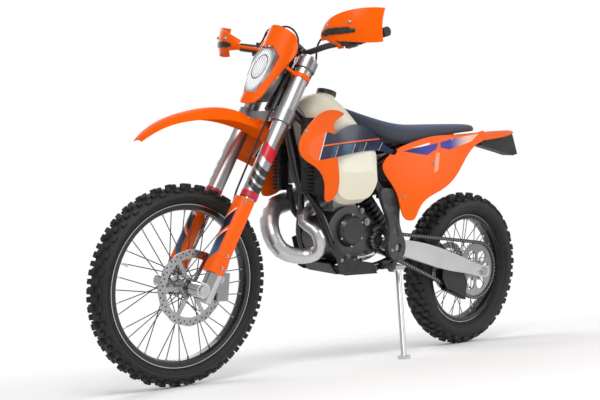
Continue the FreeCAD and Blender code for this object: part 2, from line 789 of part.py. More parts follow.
def side_panel():
    """The left number panel under the seat."""
    outline = spread([(0.02, 0.98), (0.38, 0.9), (0.55, 0.875), (0.78, 0.78), (0.93, 0.67), (1.0, 0.55),
                      (0.9, 0.27), (0.82, 0.0), (0.76, 0.0), (0.72, 0.1), (0.52, 0.3), (0.36, 0.45),
                      (0.07, 0.84), (0.0, 0.93)],
                     (-10, 572), (676, 385))
    panel = skin_panel(outline, (-20, 200, 440, 700), (560, 700, 830, 970),
                       ((0.76, 0.68, 0.60, 0.50), (0.86, 0.84, 0.76, 0.64), (0.98, 0.94, 0.82, 0.75),
                        (0.86, 0.84, 0.80, 0.76)), 165, 4)
    upper = cross_rod(400, 852, 77, 131, 6)
    lower = cross_rod(440, 690, 99.3, 152, 6)
    return joined([panel.cut(side_plate(wing_outline(), (0, 300), True)), upper, lower])


def arched_sheet(stations, thickness):
    """A moulded guard from arched sections: (x, z at the crown, half width, drop of its edges)."""
    rows = []
    for x, crown, half, drop in stations:
        rows.append([Vector(x, half * side, crown - drop * abs(side) ** 2.2)
                     for side in (-1, -0.75, -0.4, 0, 0.4, 0.75, 1)])
    return curved_sheet(rows, Vector(0, 0, -thickness))


rear_fender_stations = [(230, 925, 96, 30), (120, 925, 90, 26), (0, 936, 84, 26), (-120, 950, 74, 24),
                        (-220, 960, 58, 18), (-290, 966, 34, 8)]


def rear_fender():
    return arched_sheet(rear_fender_stations, 4)


def front_fender():
    sheet = arched_sheet([(1668, 836, 24, 6), (1600, 892, 50, 14), (1500, 934, 68, 26),
                          (1400, 956, 74, 38), (1300, 956, 68, 44), (1215, 932, 60, 40),
                          (1159, 908, 56, 34), (1100, 878, 50, 28)], 4)
    pad = loft([polygon([on_fork(height, ahead, left) for ahead, left in ((-18, -22), (54, -22), (54, 22), (-18, 22))])
                for height in (640, 650 + 4 - body_gap)], True)
    return joined([sheet, pad])


def tail_light():
    """The bracket under the rear fender that holds the tail lamp and the licence plate."""
    outline = spread([(0.0, 0.1), (0.12, 0.0), (0.35, 0.12), (1.0, 0.42), (1.0, 0.9), (0.6, 1.1), (0.2, 1.3)],
                     (-335, 850), (270, 88))
    above = arched_sheet(rear_fender_stations, -80)
    above.translate(Vector(0, 0, -4 - body_gap))
    return side_plate(outline, (-30, 30)).cut(above)


def airbox():
    """The airbox between the side panels, carried between the subframe's top rails."""
    box = loft([polygon([Vector(x, -half, low), Vector(x, half, low), Vector(x, half, high),
                         Vector(x, -half, high)])
                for x, half, low, high in ((500, 58, 645, 800), (400, 62, 640, 846), (290, 50, 700, 846))])
    lug = cross_rod(400, 841, -72, 72, 6)
    return joined([box, lug])


def shock():
    """A coil-over damper between the swingarm and the frame's cross tube."""
    low = Vector(446, -25, 480)
    high = Vector(676, -25, 722)
    axis = (high - low).normalize()
    body = rod(low, high, 14)
    coils = []
    for turn in range(9):
        at = low + axis * (70 + 24 * turn)
        coils.append(Part.makeCylinder(34, 14, at, axis))
    return joined([body] + coils)


def triple_clamps():
    """The stem and its two clamps, split for the fork legs."""
    stem = rod(on_fork(655, 0, 0), on_fork(905, 0, 0), stem_radius)
    clamps = []
    for low, high in ((650, 700), (868, 905)):
        bar = loft([polygon([on_fork(height, ahead, left)
                             for ahead, left in ((-26, -18), (-26, 18), (-4, 66), (clamp_offset - 12, 107),
                                                 (clamp_offset + 22, 107), (clamp_offset + 12, 50),
                                                 (clamp_offset + 12, -50), (clamp_offset + 22, -107),
                                                 (clamp_offset - 12, -107), (-4, -66))])
                    for height in (low + 4, high - 4)], True)
        rings = [rod(on_fork(low, clamp_offset, side), on_fork(high, clamp_offset, side), 39)
                 for side in (-fork_half_spread, fork_half_spread)]
        clamps += [bar] + rings
    whole = joined([stem] + clamps)
    for side in (-fork_half_spread, fork_half_spread):
        whole = whole.cut(rod(on_fork(600, clamp_offset, side), on_fork(950, clamp_offset, side), 30 + fit_gap))
    head, _ = head_ring()
    grown = rod(on_fork(head_tube_low - body_gap, 0, 0), on_fork(head_tube_high + body_gap, 0, 0),
                head_tube_radius + running_gap)
    hollow = grown.cut(rod(on_fork(head_tube_low - body_gap, 0, 0), on_fork(head_tube_high + body_gap, 0, 0),
                           stem_radius))
    return whole.cut(hollow)


def fork_outer_tubes():
    legs = []
    for side in (-fork_half_spread, fork_half_spread):
        leg = rod(on_fork(378, clamp_offset, side), on_fork(918, clamp_offset, side), 30)
        leg = leg.cut(rod(on_fork(378, clamp_offset, side), on_fork(470, clamp_offset, side), 24 + body_gap))
        legs.append(leg)
    return Part.makeCompound(legs)


def fork_inner_tubes():
    """Chromed tubes with the axle lugs at their feet."""
    legs = []
    for side in (-fork_half_spread, fork_half_spread):
        inner = rod(on_fork(60, clamp_offset, side), on_fork(465, clamp_offset, side), 24)
        lug = rod(on_fork(-30, clamp_offset, side), on_fork(120, clamp_offset, side), 29)
        boss = rod(front_axle + leftwards * (side - 28), front_axle + leftwards * (side + 28), 26)
        leg = joined([inner, lug, boss])
        hole = rod(front_axle + leftwards * (side - 40), front_axle + leftwards * (side + 40),
                   front_axle_radius + fit_gap)
        legs.append(leg.cut(hole))
    return Part.makeCompound(legs)


def wiper_rings():
    rings = []
    for side in (-fork_half_spread, fork_half_spread):
        low = on_fork(356, clamp_offset, side)
        high = on_fork(378 - body_gap, clamp_offset, side)
        rings.append(rod(low, high, 31).cut(rod(low, high, 24 + body_gap)))
    return Part.makeCompound(rings)


def fork_guard():
    """The guard in front of the left inner tube, bolted to its lug."""
    def leg(low, high, radius, forward=0):
        return rod(on_fork(low, clamp_offset + forward, fork_half_spread),
                   on_fork(high, clamp_offset + forward, fork_half_spread), radius)

    shell = leg(70, 345, 40, 6).cut(leg(60, 355, 36, 4))
    foot = leg(70, 118, 40, 6).cut(leg(60, 130, fork_lug_radius + body_gap))
    half = [on_fork(0, clamp_offset - 6, 0), on_fork(400, clamp_offset - 6, 0), on_fork(400, -80, 0), on_fork(0, -80, 0)]
    behind = Part.Face(polygon(half)).extrude(leftwards * 300)
    inside = block((1100, 1600), (0, front_disc_at + running_gap + disc_thickness), (200, 760))
    return joined([shell, foot]).cut(behind).cut(inside)


def front_axle_bolt():
    bolt = rod(front_axle - leftwards * 136, front_axle + leftwards * 140, front_axle_radius)
    head = rod(front_axle + leftwards * (fork_half_spread + 28 + body_gap), front_axle + leftwards * 142, 17)
    spacer = rod(front_axle + leftwards * (front_disc_at + 12), front_axle + leftwards * (fork_half_spread - 28 - body_gap), 17)
    other = rod(front_axle - leftwards * (front_hub_half + 3), front_axle - leftwards * (fork_half_spread - 28 - body_gap), 17)
    return joined([bolt, head, spacer, other])


def caliper(disc_radius, disc_at, length, reach):
    """A brake caliper that straddles its disc, laid out straight ahead of the axle."""
    inner = disc_radius - disc_band
    outer = disc_radius + caliper_bridge
    body = block((inner, outer), (disc_at - reach, disc_at + reach), (-length / 2, length / 2))
    slot = block((inner - cut_overrun, disc_radius + caliper_gap),
                 (disc_at - disc_thickness / 2 - caliper_gap, disc_at + disc_thickness / 2 + caliper_gap),
                 (-length, length))
    return body.cut(slot)


def turned_to(shape, degrees, axle):
    """A piece laid out ahead of an axle, turned up round it and set in place."""
    turned = shape.rotate(Vector(0, 0, 0), leftwards, -degrees)
    turned.translate(axle)
    return turned


def front_caliper():
    """The front caliper behind the left leg, with its bracket to the lug."""
    body = caliper(front_disc_radius, front_disc_at, 96, 15)
    inner = fork_half_spread - fork_lug_radius - body_gap
    bracket = block((30, front_disc_radius), (inner - 7, inner), (-18, 18))
    return turned_to(joined([body, bracket]), 182, front_axle)


def rear_caliper():
    """The rear caliper above the right arm, with its bracket round the axle."""
    body = caliper(rear_disc_radius, rear_disc_at, 78, 13)
    outer = rear_disc_at - 13
    bracket = block((0, rear_disc_radius), (outer - 4, outer + 4), (-14, 14))
    ring = rod(Vector(0, outer - 4, 0), Vector(0, outer + 4, 0), 26)
    hole = rod(Vector(0, outer - 8, 0), Vector(0, outer + 8, 0), rear_axle_radius + fit_gap)
    return turned_to(joined([body, bracket, ring]).cut(hole), 38, rear_axle)


def headlight_mask():
    """The headlamp surround, a curved shield in front of the fork."""
    outline = [(-0.42, 0.0), (0.42, 0.0), (0.62, 0.3), (0.95, 0.62), (1.0, 0.8), (0.8, 0.98), (0.5, 1.05),
               (-0.5, 1.05), (-0.8, 0.98), (-1.0, 0.8), (-0.95, 0.62), (-0.62, 0.3)]
    low = Vector(1205, 0, 980)
    high = Vector(1090, 0, 1232)
    rise = high - low
    out = Vector(rise.z, 0, -rise.x).normalize()
    half = 112
    rows = []
    for share in (-0.1, 0.25, 0.6, 0.85, 1.15):
        rows.append([low + rise * share + leftwards * (half * side) + out * (46 - 74 * abs(side) ** 1.6)
                     for side in (-1.15, -0.7, -0.35, 0, 0.35, 0.7, 1.15)])
    skin = curved_sheet(rows, out * -4)
    points = [low + rise * up - out * 90 + leftwards * (half * side) for side, up in outline]
    cutter = Part.Face(smooth_loop(points)).extrude(out * 180)
    shield = skin.common(cutter)
    outside = curved_sheet(rows, out * 60)
    pieces = [shield.cut(lamp_prism(low, rise, out, 0))]
    for side in (-1, 1):
        leg = side * fork_half_spread
        ring = rod(on_fork(828, clamp_offset, leg), on_fork(844, clamp_offset, leg), 34)
        arm = rod(on_fork(836, clamp_offset + 28, leg), Vector(1138, side * 88, 1118), 6)
        pieces.append(joined([ring, arm.cut(outside)]).cut(rod(on_fork(800, clamp_offset, leg),
                                                               on_fork(870, clamp_offset, leg), 30 + body_gap)))
    return joined(pieces)


def lamp_prism(low, rise, out, inset):
    shares = [(-0.30, 0.1), (0.30, 0.1), (0.5, 0.4), (0.56, 0.66), (0.3, 0.78), (-0.3, 0.78), (-0.56, 0.66), (-0.5, 0.4)]
    points = [low + rise * up - out * 60 + leftwards * (112 - inset) * side for side, up in shares]
    return Part.Face(polygon(points)).extrude(out * 180)


def headlight():
    low = Vector(1205, 0, 980)
    rise = Vector(1090, 0, 1232) - low
    out = Vector(rise.z, 0, -rise.x).normalize()
    middle = low + rise * 0.45
    ball = Part.makeCylinder(150, 70, middle - out * 35, out)
    return lamp_prism(low, rise, out, 1).common(ball)


def handlebar():
    """The bent bar with its crossways mount on the top clamp."""
    half = [on_fork(950, 12, 0), on_fork(950, 12, 70), on_fork(985, 0, 160), on_fork(1008, -28, 232),
            Vector(958, bar_half_width, 1236)]
    bar = tube(half, bar_radius)
    mount = rod(on_fork(901 + body_gap, 12, 45), on_fork(950, 12, 45), 15)
    return joined([bar, mirrored(bar), mount, mirrored(mount)])


def grips():
    end = Vector(958, bar_half_width, 1236)
    inner = on_fork(1008, -28, 232)
    along = (end - inner).normalize()
    start = end - along * grip_length
    grip = rod(start, end + along * 6, grip_radius).cut(rod(start, end, bar_radius + fit_gap))
    return both_sides(grip)


def handguard():
    """The left hand guard: a shell in front of the lever on an arm clamped to the bar."""
    rows = []
    for y, x, low, high in ((235, 1105, 1200, 1236), (300, 1128, 1196, 1272), (360, 1110, 1190, 1292),
                            (410, 1062, 1188, 1304), (432, 1010, 1196, 1308)):
        rows.append([Vector(x - 8, y, low), Vector(x, y, (low + high) / 2), Vector(x - 10, y, high)])
    shell = curved_sheet(rows, Vector(-4, 0, 0))
    on_bar = on_fork(985, 0, 160)
    along = (on_fork(1008, -28, 232) - on_bar).normalize()
    middle = on_bar + along * 40
    clamp = rod(middle - along * 8, middle + along * 8, bar_radius + 7)
    arm = tube([middle + Vector(14, 0, -2), Vector(1030, 212, 1208), Vector(1104, 246, 1214)], 6)
    whole = joined([clamp, arm, shell])
    return whole.cut(rod(middle - along * 20, middle + along * 20, bar_radius + fit_gap))


def side_stand():
    """The stand leg, its foot flat on the ground that it leans to."""
    lean = math.radians(lean_deg)
    ground = Vector(0, -math.sin(lean), math.cos(lean))
    toe = Vector(stand_toe_x, stand_toe_y, stand_toe_y * math.tan(lean))
    pivot = Vector(stand_pivot_x, stand_pivot_y, stand_pivot_z)
    foot = Part.makeCylinder(stand_foot_radius, stand_foot_height, toe, ground)
    leg = rod(toe + ground * (stand_foot_height / 2), pivot, stand_radius)
    below = Part.makeCylinder(stand_foot_radius * 2, stand_foot_radius * 2, toe - ground * stand_foot_radius * 2, ground)
    head = rod(pivot - stand_axis * 11, pivot + stand_axis * 7, stand_head_radius)
    return joined([foot, leg, head]).cut(below)


def footpeg():
    """A folding peg on the left lug."""
    tread = block((596, 646), (peg_in + 8, 208), (384, 400))
    hinge = block((606, 636), (peg_in + body_gap, peg_in + 12), (380, 400))
    return joined([tread, hinge])


def placed(shape):
    """Lean the upright machine onto its stand and move it to the origin."""
    leaned = shape.rotate(Vector(0, 0, 0), Vector(1, 0, 0), -lean_deg)
    leaned.translate(Vector(-origin_ahead_of_rear_axle, -origin_left_of_track, 0))
    return leaned


def build():
    nodes = {}
    frame_shape = frame()
    nodes["frame"] = frame_shape
    nodes["subframe"] = subframe(frame_shape)
    nodes["frame_guards"] = frame_guards(frame_shape)
    nodes["swingarm"] = swingarm()
    nodes["swingarm_pivot_bolt"] = pivot_bolt()
    nodes["rear_axle"] = rear_axle_bolt()
    case = crankcase()
    nodes["crankcase"] = case.cut(frame_shape)
    nodes["ignition_cover"] = ignition_cover()
    nodes["clutch_cover"] = clutch_cover()
    barrel = cylinder(case)
    nodes["cylinder"] = barrel
    nodes["cylinder_head"] = cylinder_head()
    pipe = exhaust()
    nodes["exhaust_pipe"] = pipe
    nodes["silencer"] = silencer()
    nodes["skid_plate"] = skid_plate()
    core = radiator()
    nodes["radiators"] = both_sides(core)
    nodes["radiator_guards"] = both_sides(radiator_guard())
    tank = fuel_tank([frame_shape, both_sides(core), cylinder_head(), pipe])
    nodes["fuel_tank"] = tank
    nodes["fuel_cap"] = fuel_cap()
    tail = rear_fender()
    nodes["rear_fender"] = tail
    nodes["seat"] = seat([tank, frame_shape, tail])
    strip = shroud()
    nodes["shrouds"] = both_sides(strip)
    wing = shroud_wing()
    nodes["shroud_wings"] = both_sides(wing)
    left_panel = side_panel().cut(nodes["subframe"])
    right_panel = mirrored(left_panel).cut(silencer_space())
    nodes["side_panels"] = Part.makeCompound([left_panel, right_panel])
    nodes["tail_light"] = tail_light()
    nodes["airbox"] = airbox().cut(nodes["subframe"])
    nodes["shock"] = shock()
    nodes["chain"] = chain()
    countershaft = Vector(countershaft_x, 0, countershaft_z)
    nodes["front_sprocket"] = sprocket(front_teeth, 12, countershaft, 0)
    nodes["rear_caliper"] = rear_caliper()
    nodes["footpegs"] = both_sides(footpeg())
    nodes["triple_clamps"] = triple_clamps()
    nodes["fork_outer_tubes"] = fork_outer_tubes()
    nodes["fork_inner_tubes"] = fork_inner_tubes()
    nodes["wiper_rings"] = wiper_rings()
    nodes["fork_guards"] = both_sides(fork_guard())
    nodes["front_axle"] = front_axle_bolt()
    nodes["front_caliper"] = front_caliper()
    nodes["front_fender"] = front_fender()
    nodes["headlight_mask"] = headlight_mask()
    nodes["headlight"] = headlight()
    nodes["handlebar"] = handlebar()
    nodes["grips"] = grips()
    nodes["handguards"] = both_sides(handguard())
    nodes["front_tyre"] = tyre(front_tyre_radius, front_tyre_half_width, front_crown_radius,
                               front_shoulder_half, front_rim_radius, front_rim_half, front_bed_drop, front_axle)
    nodes["front_rim"] = rim(front_rim_radius, front_rim_half, front_bed_drop, front_axle)
    nodes["front_hub"] = hub(front_hub_flange_radius, front_hub_barrel_radius, front_hub_half, front_flange_at,
                             front_axle_radius + fit_gap, front_disc_at - disc_thickness / 2, 30, front_axle)
    nodes["front_spokes"] = spokes(front_hub_flange_radius, front_flange_at, front_rim_radius, front_bed_drop, front_axle)
    nodes["front_disc"] = wave_disc(front_disc_radius, front_axle_radius + fit_gap, front_disc_at, front_axle)
    nodes["rear_tyre"] = tyre(rear_tyre_radius, rear_tyre_half_width, rear_crown_radius,
                              rear_shoulder_half, rear_rim_radius, rear_rim_half, rear_bed_drop, rear_axle)
    nodes["rear_rim"] = rim(rear_rim_radius, rear_rim_half, rear_bed_drop, rear_axle)
    nodes["rear_hub"] = hub(rear_hub_flange_radius, rear_hub_barrel_radius, rear_hub_half, rear_flange_at,
                            rear_axle_radius + fit_gap, chain_line - sprocket_thickness / 2, 40, rear_axle)
    nodes["rear_spokes"] = spokes(rear_hub_flange_radius, rear_flange_at, rear_rim_radius, rear_bed_drop, rear_axle)
    nodes["rear_disc"] = wave_disc(rear_disc_radius, rear_axle_radius + fit_gap, rear_disc_at, rear_axle)
    nodes["rear_sprocket"] = sprocket(rear_teeth, rear_axle_radius + fit_gap, rear_axle, 6)
    nodes["side_stand"] = side_stand()
    return nodes


def main():
    os.makedirs("parts", exist_ok=True)
    for name, shape in build().items():
        solids = shape.Solids
        print(name, len(solids), "valid" if shape.isValid() else "INVALID",
              round(sum(solid.Volume for solid in solids)))
        placed(shape).exportStep("parts/" + name + ".step")


main()
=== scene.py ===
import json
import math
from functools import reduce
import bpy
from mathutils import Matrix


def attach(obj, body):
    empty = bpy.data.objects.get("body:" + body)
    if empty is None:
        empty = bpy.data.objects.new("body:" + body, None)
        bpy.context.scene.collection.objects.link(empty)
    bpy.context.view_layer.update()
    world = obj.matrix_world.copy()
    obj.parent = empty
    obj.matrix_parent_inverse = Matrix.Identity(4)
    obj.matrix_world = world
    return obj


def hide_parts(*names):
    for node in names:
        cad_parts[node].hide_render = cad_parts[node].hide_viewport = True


bl_info = {
    "name": "Parked enduro motorcycle",
    "version": (1, 0, 0),
    "blender": (4, 5, 0),
    "location": "3D View > Sidebar > Motorcycle",
    "description": "Dresses the CAD enduro motorcycle with its finishes, seat cover, fasteners and studio",
    "category": "Object",
}

import bmesh
import bpy
from mathutils import Matrix, Vector
from mathutils.bvhtree import BVHTree

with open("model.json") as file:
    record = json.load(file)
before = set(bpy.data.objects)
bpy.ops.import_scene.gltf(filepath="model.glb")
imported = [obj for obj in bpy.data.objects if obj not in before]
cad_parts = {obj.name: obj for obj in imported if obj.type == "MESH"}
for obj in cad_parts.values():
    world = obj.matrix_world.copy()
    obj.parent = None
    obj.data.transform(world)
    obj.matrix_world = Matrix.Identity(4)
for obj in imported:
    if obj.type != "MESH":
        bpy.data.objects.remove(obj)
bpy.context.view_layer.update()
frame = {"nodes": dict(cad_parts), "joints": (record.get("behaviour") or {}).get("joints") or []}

# The machine's own upright frame, found from its rear wheel: forward, to the rider's left, up.
JOINTS = {joint["name"]: joint for joint in frame["joints"]}
FORWARD = Vector((1, 0, 0))
LEFT = Vector(JOINTS["rear_wheel"]["axis"]).normalized()
UP = FORWARD.cross(LEFT)
REAR_AXLE = Vector(JOINTS["rear_wheel"]["pos_m"])
FRONT_AXLE = Vector(JOINTS["front_wheel"]["pos_m"])
STEERING_AXIS = Vector(JOINTS["steering"]["axis"]).normalized()
GROUND = REAR_AXLE - UP * (REAR_AXLE.z / UP.z)
MM = 0.001


def at(x, y, z):
    """A point of the upright machine, in millimetres ahead of the rear axle, left and up."""
    return GROUND + (FORWARD * x + LEFT * y + UP * z) * MM


def toward(x, y, z):
    """A direction of the upright machine."""
    return (FORWARD * x + LEFT * y + UP * z).normalized()


# The fork's own frame: its foot lies on the steering axis, level with the front axle.
HEAD_HEIGHT = 785
FORK_AHEAD = LEFT.cross(STEERING_AXIS)
FORK_FOOT = Vector(JOINTS["steering"]["pos_m"]) - STEERING_AXIS * HEAD_HEIGHT * MM


def on_fork(up, ahead, left):
    """A point in the steering axis's own frame, in millimetres."""
    return FORK_FOOT + (STEERING_AXIS * up + FORK_AHEAD * ahead + LEFT * left) * MM


class FinishSettings(bpy.types.PropertyGroup):
    """Colours of the machine's finishes."""

    panel_orange: bpy.props.FloatVectorProperty(
        name="Panel orange", description="Colour of the moulded panels", subtype="COLOR",
        size=3, default=(0.93, 0.118, 0.0))
    graphic_navy: bpy.props.FloatVectorProperty(
        name="Graphic navy", description="Dark ground of the wing's pattern", subtype="COLOR",
        size=3, default=(0.008, 0.014, 0.045))
    graphic_steel: bpy.props.FloatVectorProperty(
        name="Graphic steel blue", description="Lighter shards of the pattern", subtype="COLOR",
        size=3, default=(0.055, 0.13, 0.24))
    stripe_violet: bpy.props.FloatVectorProperty(
        name="Stripe violet", description="Stripe along the side panel", subtype="COLOR",
        size=3, default=(0.055, 0.045, 0.32))
    tank_cream: bpy.props.FloatVectorProperty(
        name="Tank cream", description="Colour of the unpainted tank", subtype="COLOR",
        size=3, default=(0.80, 0.765, 0.64))
    seat_navy: bpy.props.FloatVectorProperty(
        name="Seat navy", description="Colour of the seat cover", subtype="COLOR",
        size=3, default=(0.022, 0.030, 0.072))


class SizeSettings(bpy.types.PropertyGroup):
    """Sizes of the pieces that Blender adds."""

    bolt_radius: bpy.props.FloatProperty(
        name="Bolt head radius", description="Radius of the hexagon bolt heads", unit="LENGTH",
        default=4.9 * MM)
    nipple_length: bpy.props.FloatProperty(
        name="Spoke nipple length", description="Length of each spoke nipple", unit="LENGTH",
        default=13.0 * MM)
    focal_pixels: bpy.props.FloatProperty(
        name="Focal length in pixels", description="Camera focal length at a width of 600 pixels",
        default=902.4)


class Value:
    """A number on a shader socket, so that shader maths reads as plain sums."""

    def __init__(self, shader, socket):
        self.shader = shader
        self.socket = socket

    def math(self, operation, *others):
        values = {index: other for index, other in enumerate((self,) + others)}
        return self.shader.node("ShaderNodeMath", {"operation": operation}, values)

    def __add__(self, other):
        return self.math("ADD", other)

    def __mul__(self, other):
        return self.math("MULTIPLY", other)

    def __sub__(self, other):
        return self.math("SUBTRACT", other)

    def __rsub__(self, other):
        return (self * -1) + other

    def __truediv__(self, other):
        return self.math("DIVIDE", other)

    def smaller(self, other):
        return self.math("MINIMUM", other)

    def larger(self, other):
        return self.math("MAXIMUM", other)

    def ramp(self, low, high):
        """0 below low, 1 above high, smooth between."""
        return self.shader.node("ShaderNodeMapRange", {"interpolation_type": "SMOOTHSTEP"},
                                {"Value": self, "From Min": low, "From Max": high})

    def band(self, low, high, soft=1.0):
        """1 between low and high, 0 outside, with soft edges."""
        return self.ramp(low, low + soft) * (1 - self.ramp(high, high + soft))


class Shader:
    """One material and the nodes in it."""

    def __init__(self, name):
        self.material = bpy.data.materials.new(name)
        self.material.use_nodes = True
        self.tree = self.material.node_tree
        self.tree.nodes.clear()

    def node(self, kind, settings=None, values=None, output=0):
        """A node with its settings made first, then its sockets' values or links."""
        made = self.tree.nodes.new(kind)
        for key, setting in (settings or {}).items():
            if key == "stops":
                ramp = made.color_ramp
                while len(ramp.elements) < len(setting):
                    ramp.elements.new(0.5)
                for element, (place, colour) in zip(ramp.elements, setting):
                    element.position = place
                    element.color = (*colour, 1) if len(colour) == 3 else colour
            else:
                setattr(made, key, setting)
        for key, value in (values or {}).items():
            socket = made.inputs[key]
            if isinstance(value, Value):
                self.tree.links.new(value.socket, socket)
            elif hasattr(value, "__len__") and len(value) == 3 and socket.type == "RGBA":
                socket.default_value = (*value, 1)
            else:
                socket.default_value = value
        return Value(self, made.outputs[output]) if len(made.outputs) else None

    def place(self):
        """Where a point is on the object."""
        return self.node("ShaderNodeTexCoord", output="Object")

    def vector(self, operation, *values):
        """Vector maths; its result is a number for a dot product or a length."""
        output = 0 if operation == "SUBTRACT" else "Value"
        return self.node("ShaderNodeVectorMath", {"operation": operation}, dict(enumerate(values)), output)

    def along(self, direction, origin):
        """How far a point lies along a direction from an origin, in millimetres."""
        dot = self.vector("DOT_PRODUCT", self.place(), tuple(direction / MM))
        return dot - direction.dot(origin) / MM

    def noise(self, scale, detail=3.0, roughness=0.55, distortion=0.0):
        return self.node("ShaderNodeTexNoise", {}, {
            "Vector": self.place(), "Scale": scale, "Detail": detail, "Roughness": roughness,
            "Distortion": distortion})

    def mix(self, mask, first, second):
        """The first colour where the mask is 0, the second where it is 1."""
        return self.node("ShaderNodeMix", {"data_type": "RGBA"}, {0: mask, 6: first, 7: second}, output=2)

    def bump(self, height, strength, distance=0.001, below=None):
        values = {"Strength": strength, "Distance": distance, "Height": height}
        if below is not None:
            values["Normal"] = below
        return self.node("ShaderNodeBump", {}, values)

    def graphic(self):
        """How far ahead and how far up a point lies, for patterns drawn from the side."""
        return self.along(FORWARD, GROUND), self.along(UP, GROUND)

    def finish(self, **values):
        """The surface, from the shader's own sockets by name."""
        names = {key.replace("_", " ").title().replace("Ior", "IOR"): value
                 for key, value in values.items()}
        surface = self.node("ShaderNodeBsdfPrincipled", {}, names)
        self.node("ShaderNodeOutputMaterial", {}, {"Surface": surface})
        return self.material

    def within(self, x, z, corners, softness=0.7):
        """1 inside a convex outline, 0 outside; corners in millimetres, anticlockwise."""
        distances = []
        for (ax, az), (bx, bz) in zip(corners, corners[1:] + corners[:1]):
            length = math.hypot(bx - ax, bz - az)
            nx, nz = (az - bz) / length, (bx - ax) / length
            distances.append(x * nx + z * nz - (ax * nx + az * nz))
        return reduce(Value.smaller, distances).ramp(-softness, softness)

    def blend(self, mask, first, second):
        """Two surfaces in one material: the first where the mask is 0."""
        mixed = self.node("ShaderNodeMixShader", {}, {0: mask, 1: first, 2: second})
        self.node("ShaderNodeOutputMaterial", {}, {"Surface": mixed})
        return self.material


def any_of(masks):
    """1 where one of the masks is 1."""
    return reduce(Value.larger, masks)


def peel(shader, grain=0.02):
    """The fine orange peel of moulded plastic."""
    return shader.bump(shader.noise(420.0, 2.0), grain, 0.0004)


def moulded(shader, colour, roughness=0.34, coat=0.05, grain=0.02, gloss=0.1):
    """Glossy moulded plastic: a faint flow mottle, fine orange peel and soft scuffs."""
    mottle = shader.noise(9.0, 2.0).ramp(0.3, 0.75)
    tint = shader.mix(mottle * 0.5, colour, tuple(c * 0.86 for c in colour))
    scuff = shader.noise(60.0, 6.0, 0.7).ramp(0.45, 0.8)
    return shader.finish(base_color=tint, roughness=scuff * 0.10 + roughness, coat_weight=coat,
                         coat_roughness=0.12, specular_ior_level=gloss, normal=peel(shader, grain))


def panel_plastic():
    return moulded(Shader("panel_plastic"), tuple(settings().panel_orange))


def fender_plastic():
    """The panels' plastic, duller, so that its crown keeps its edge against the sky."""
    return moulded(Shader("fender_plastic"), tuple(settings().panel_orange), 0.45, 0.0, 0.005, 0.03)


def panel_colours():
    """The orange and the two blues of the patterns."""
    chosen = settings()
    return tuple(chosen.panel_orange), tuple(chosen.graphic_navy), tuple(chosen.graphic_steel)


# The wing's pattern: where each shard starts along the slant and its width, in millimetres.
WING_SHARDS = ((1150, 56), (1236, 30), (1296, 62), (1392, 26))


def wing_plastic():
    """Orange nose, dark field and slanted lighter shards with fine pale edges."""
    shader = Shader("wing_graphics")
    x, z = shader.graphic()
    orange, navy, steel = panel_colours()
    slant = x + z * 0.55
    nose = slant.ramp(1486, 1488)
    edge = slant.band(1480, 1485, 1.5)
    shard = any_of([slant.band(start, start + width, 1.5) for start, width in WING_SHARDS])
    fade = shader.noise(7.0, 2.0).ramp(0.3, 0.7)
    rise = z + x * 0.12
    height = rise.ramp(955, 960)
    light = shader.mix(fade, steel, navy)
    colour = shader.mix(shard * (1 - height), navy, light)
    pin = any_of([slant.band(start - 3.5, start - 1.5, 0.8) for start, _ in WING_SHARDS])
    colour = shader.mix(pin * (1 - height), colour, (0.75, 0.78, 0.82))
    rail = rise.band(962, 967)
    colour = shader.mix(rail, colour, orange)
    colour = shader.mix(edge, colour, (0.85, 0.85, 0.85))
    colour = shader.mix(nose, colour, orange)
    return shader.finish(base_color=colour, roughness=0.28, coat_weight=0.2, coat_roughness=0.1,
                         specular_ior_level=0.3, normal=peel(shader))


# The side panel's pattern, with a painted highlight line along the stripe's front edge and a painted
# highlight on the panel's crease: outlines ahead of the rear axle and up, in millimetres.
STRIPE_FRONT = [(555, 839), (501, 852), (337, 882), (357, 854), (415, 829)]
STRIPE_BACK = [(326, 885), (225, 907), (42, 934), (102, 899), (268, 857), (325, 863)]
STRIPE_EDGE_HIGHLIGHT = [(503, 855), (393, 881), (398, 872), (450, 861)]
PANEL_CREASE_HIGHLIGHT = [(377, 758), (356, 841), (332, 842), (350, 770)]


def side_panel_plastic():
    """Orange with a blue and violet stripe that tapers along the top, pale toward the rear, with a painted
    highlight line along its front edge and a painted highlight on the crease.
    """
    shader = Shader("side_panel_graphics")
    x, z = shader.graphic()
    orange, violet = tuple(settings().panel_orange), tuple(settings().stripe_violet)
    front = shader.within(x, z, STRIPE_FRONT)
    back = shader.within(x, z, STRIPE_BACK)
    stripe = shader.mix((x * -1).ramp(-520, -400), (0.008, 0.035, 0.13), violet)
    stripe = shader.mix((x * -1).ramp(-270, -120), stripe, (0.85, 0.55, 0.42))
    colour = shader.mix(front.larger(back), orange, stripe)
    # painted highlight: a thin pale line along the stripe's front edge
    line = shader.within(x, z, STRIPE_EDGE_HIGHLIGHT)
    colour = shader.mix(line, colour, (0.85, 0.85, 0.85))
    # painted highlight: a paler orange along the panel's crease
    crease_highlight = shader.within(x, z, PANEL_CREASE_HIGHLIGHT)
    colour = shader.mix(crease_highlight * 0.55, colour, (0.9, 0.55, 0.38))
    scuff = shader.noise(60.0, 6.0, 0.7).ramp(0.45, 0.8)
    return shader.finish(base_color=colour, roughness=scuff * 0.08 + 0.33, coat_weight=0.05,
                         coat_roughness=0.12, specular_ior_level=0.2, normal=peel(shader))


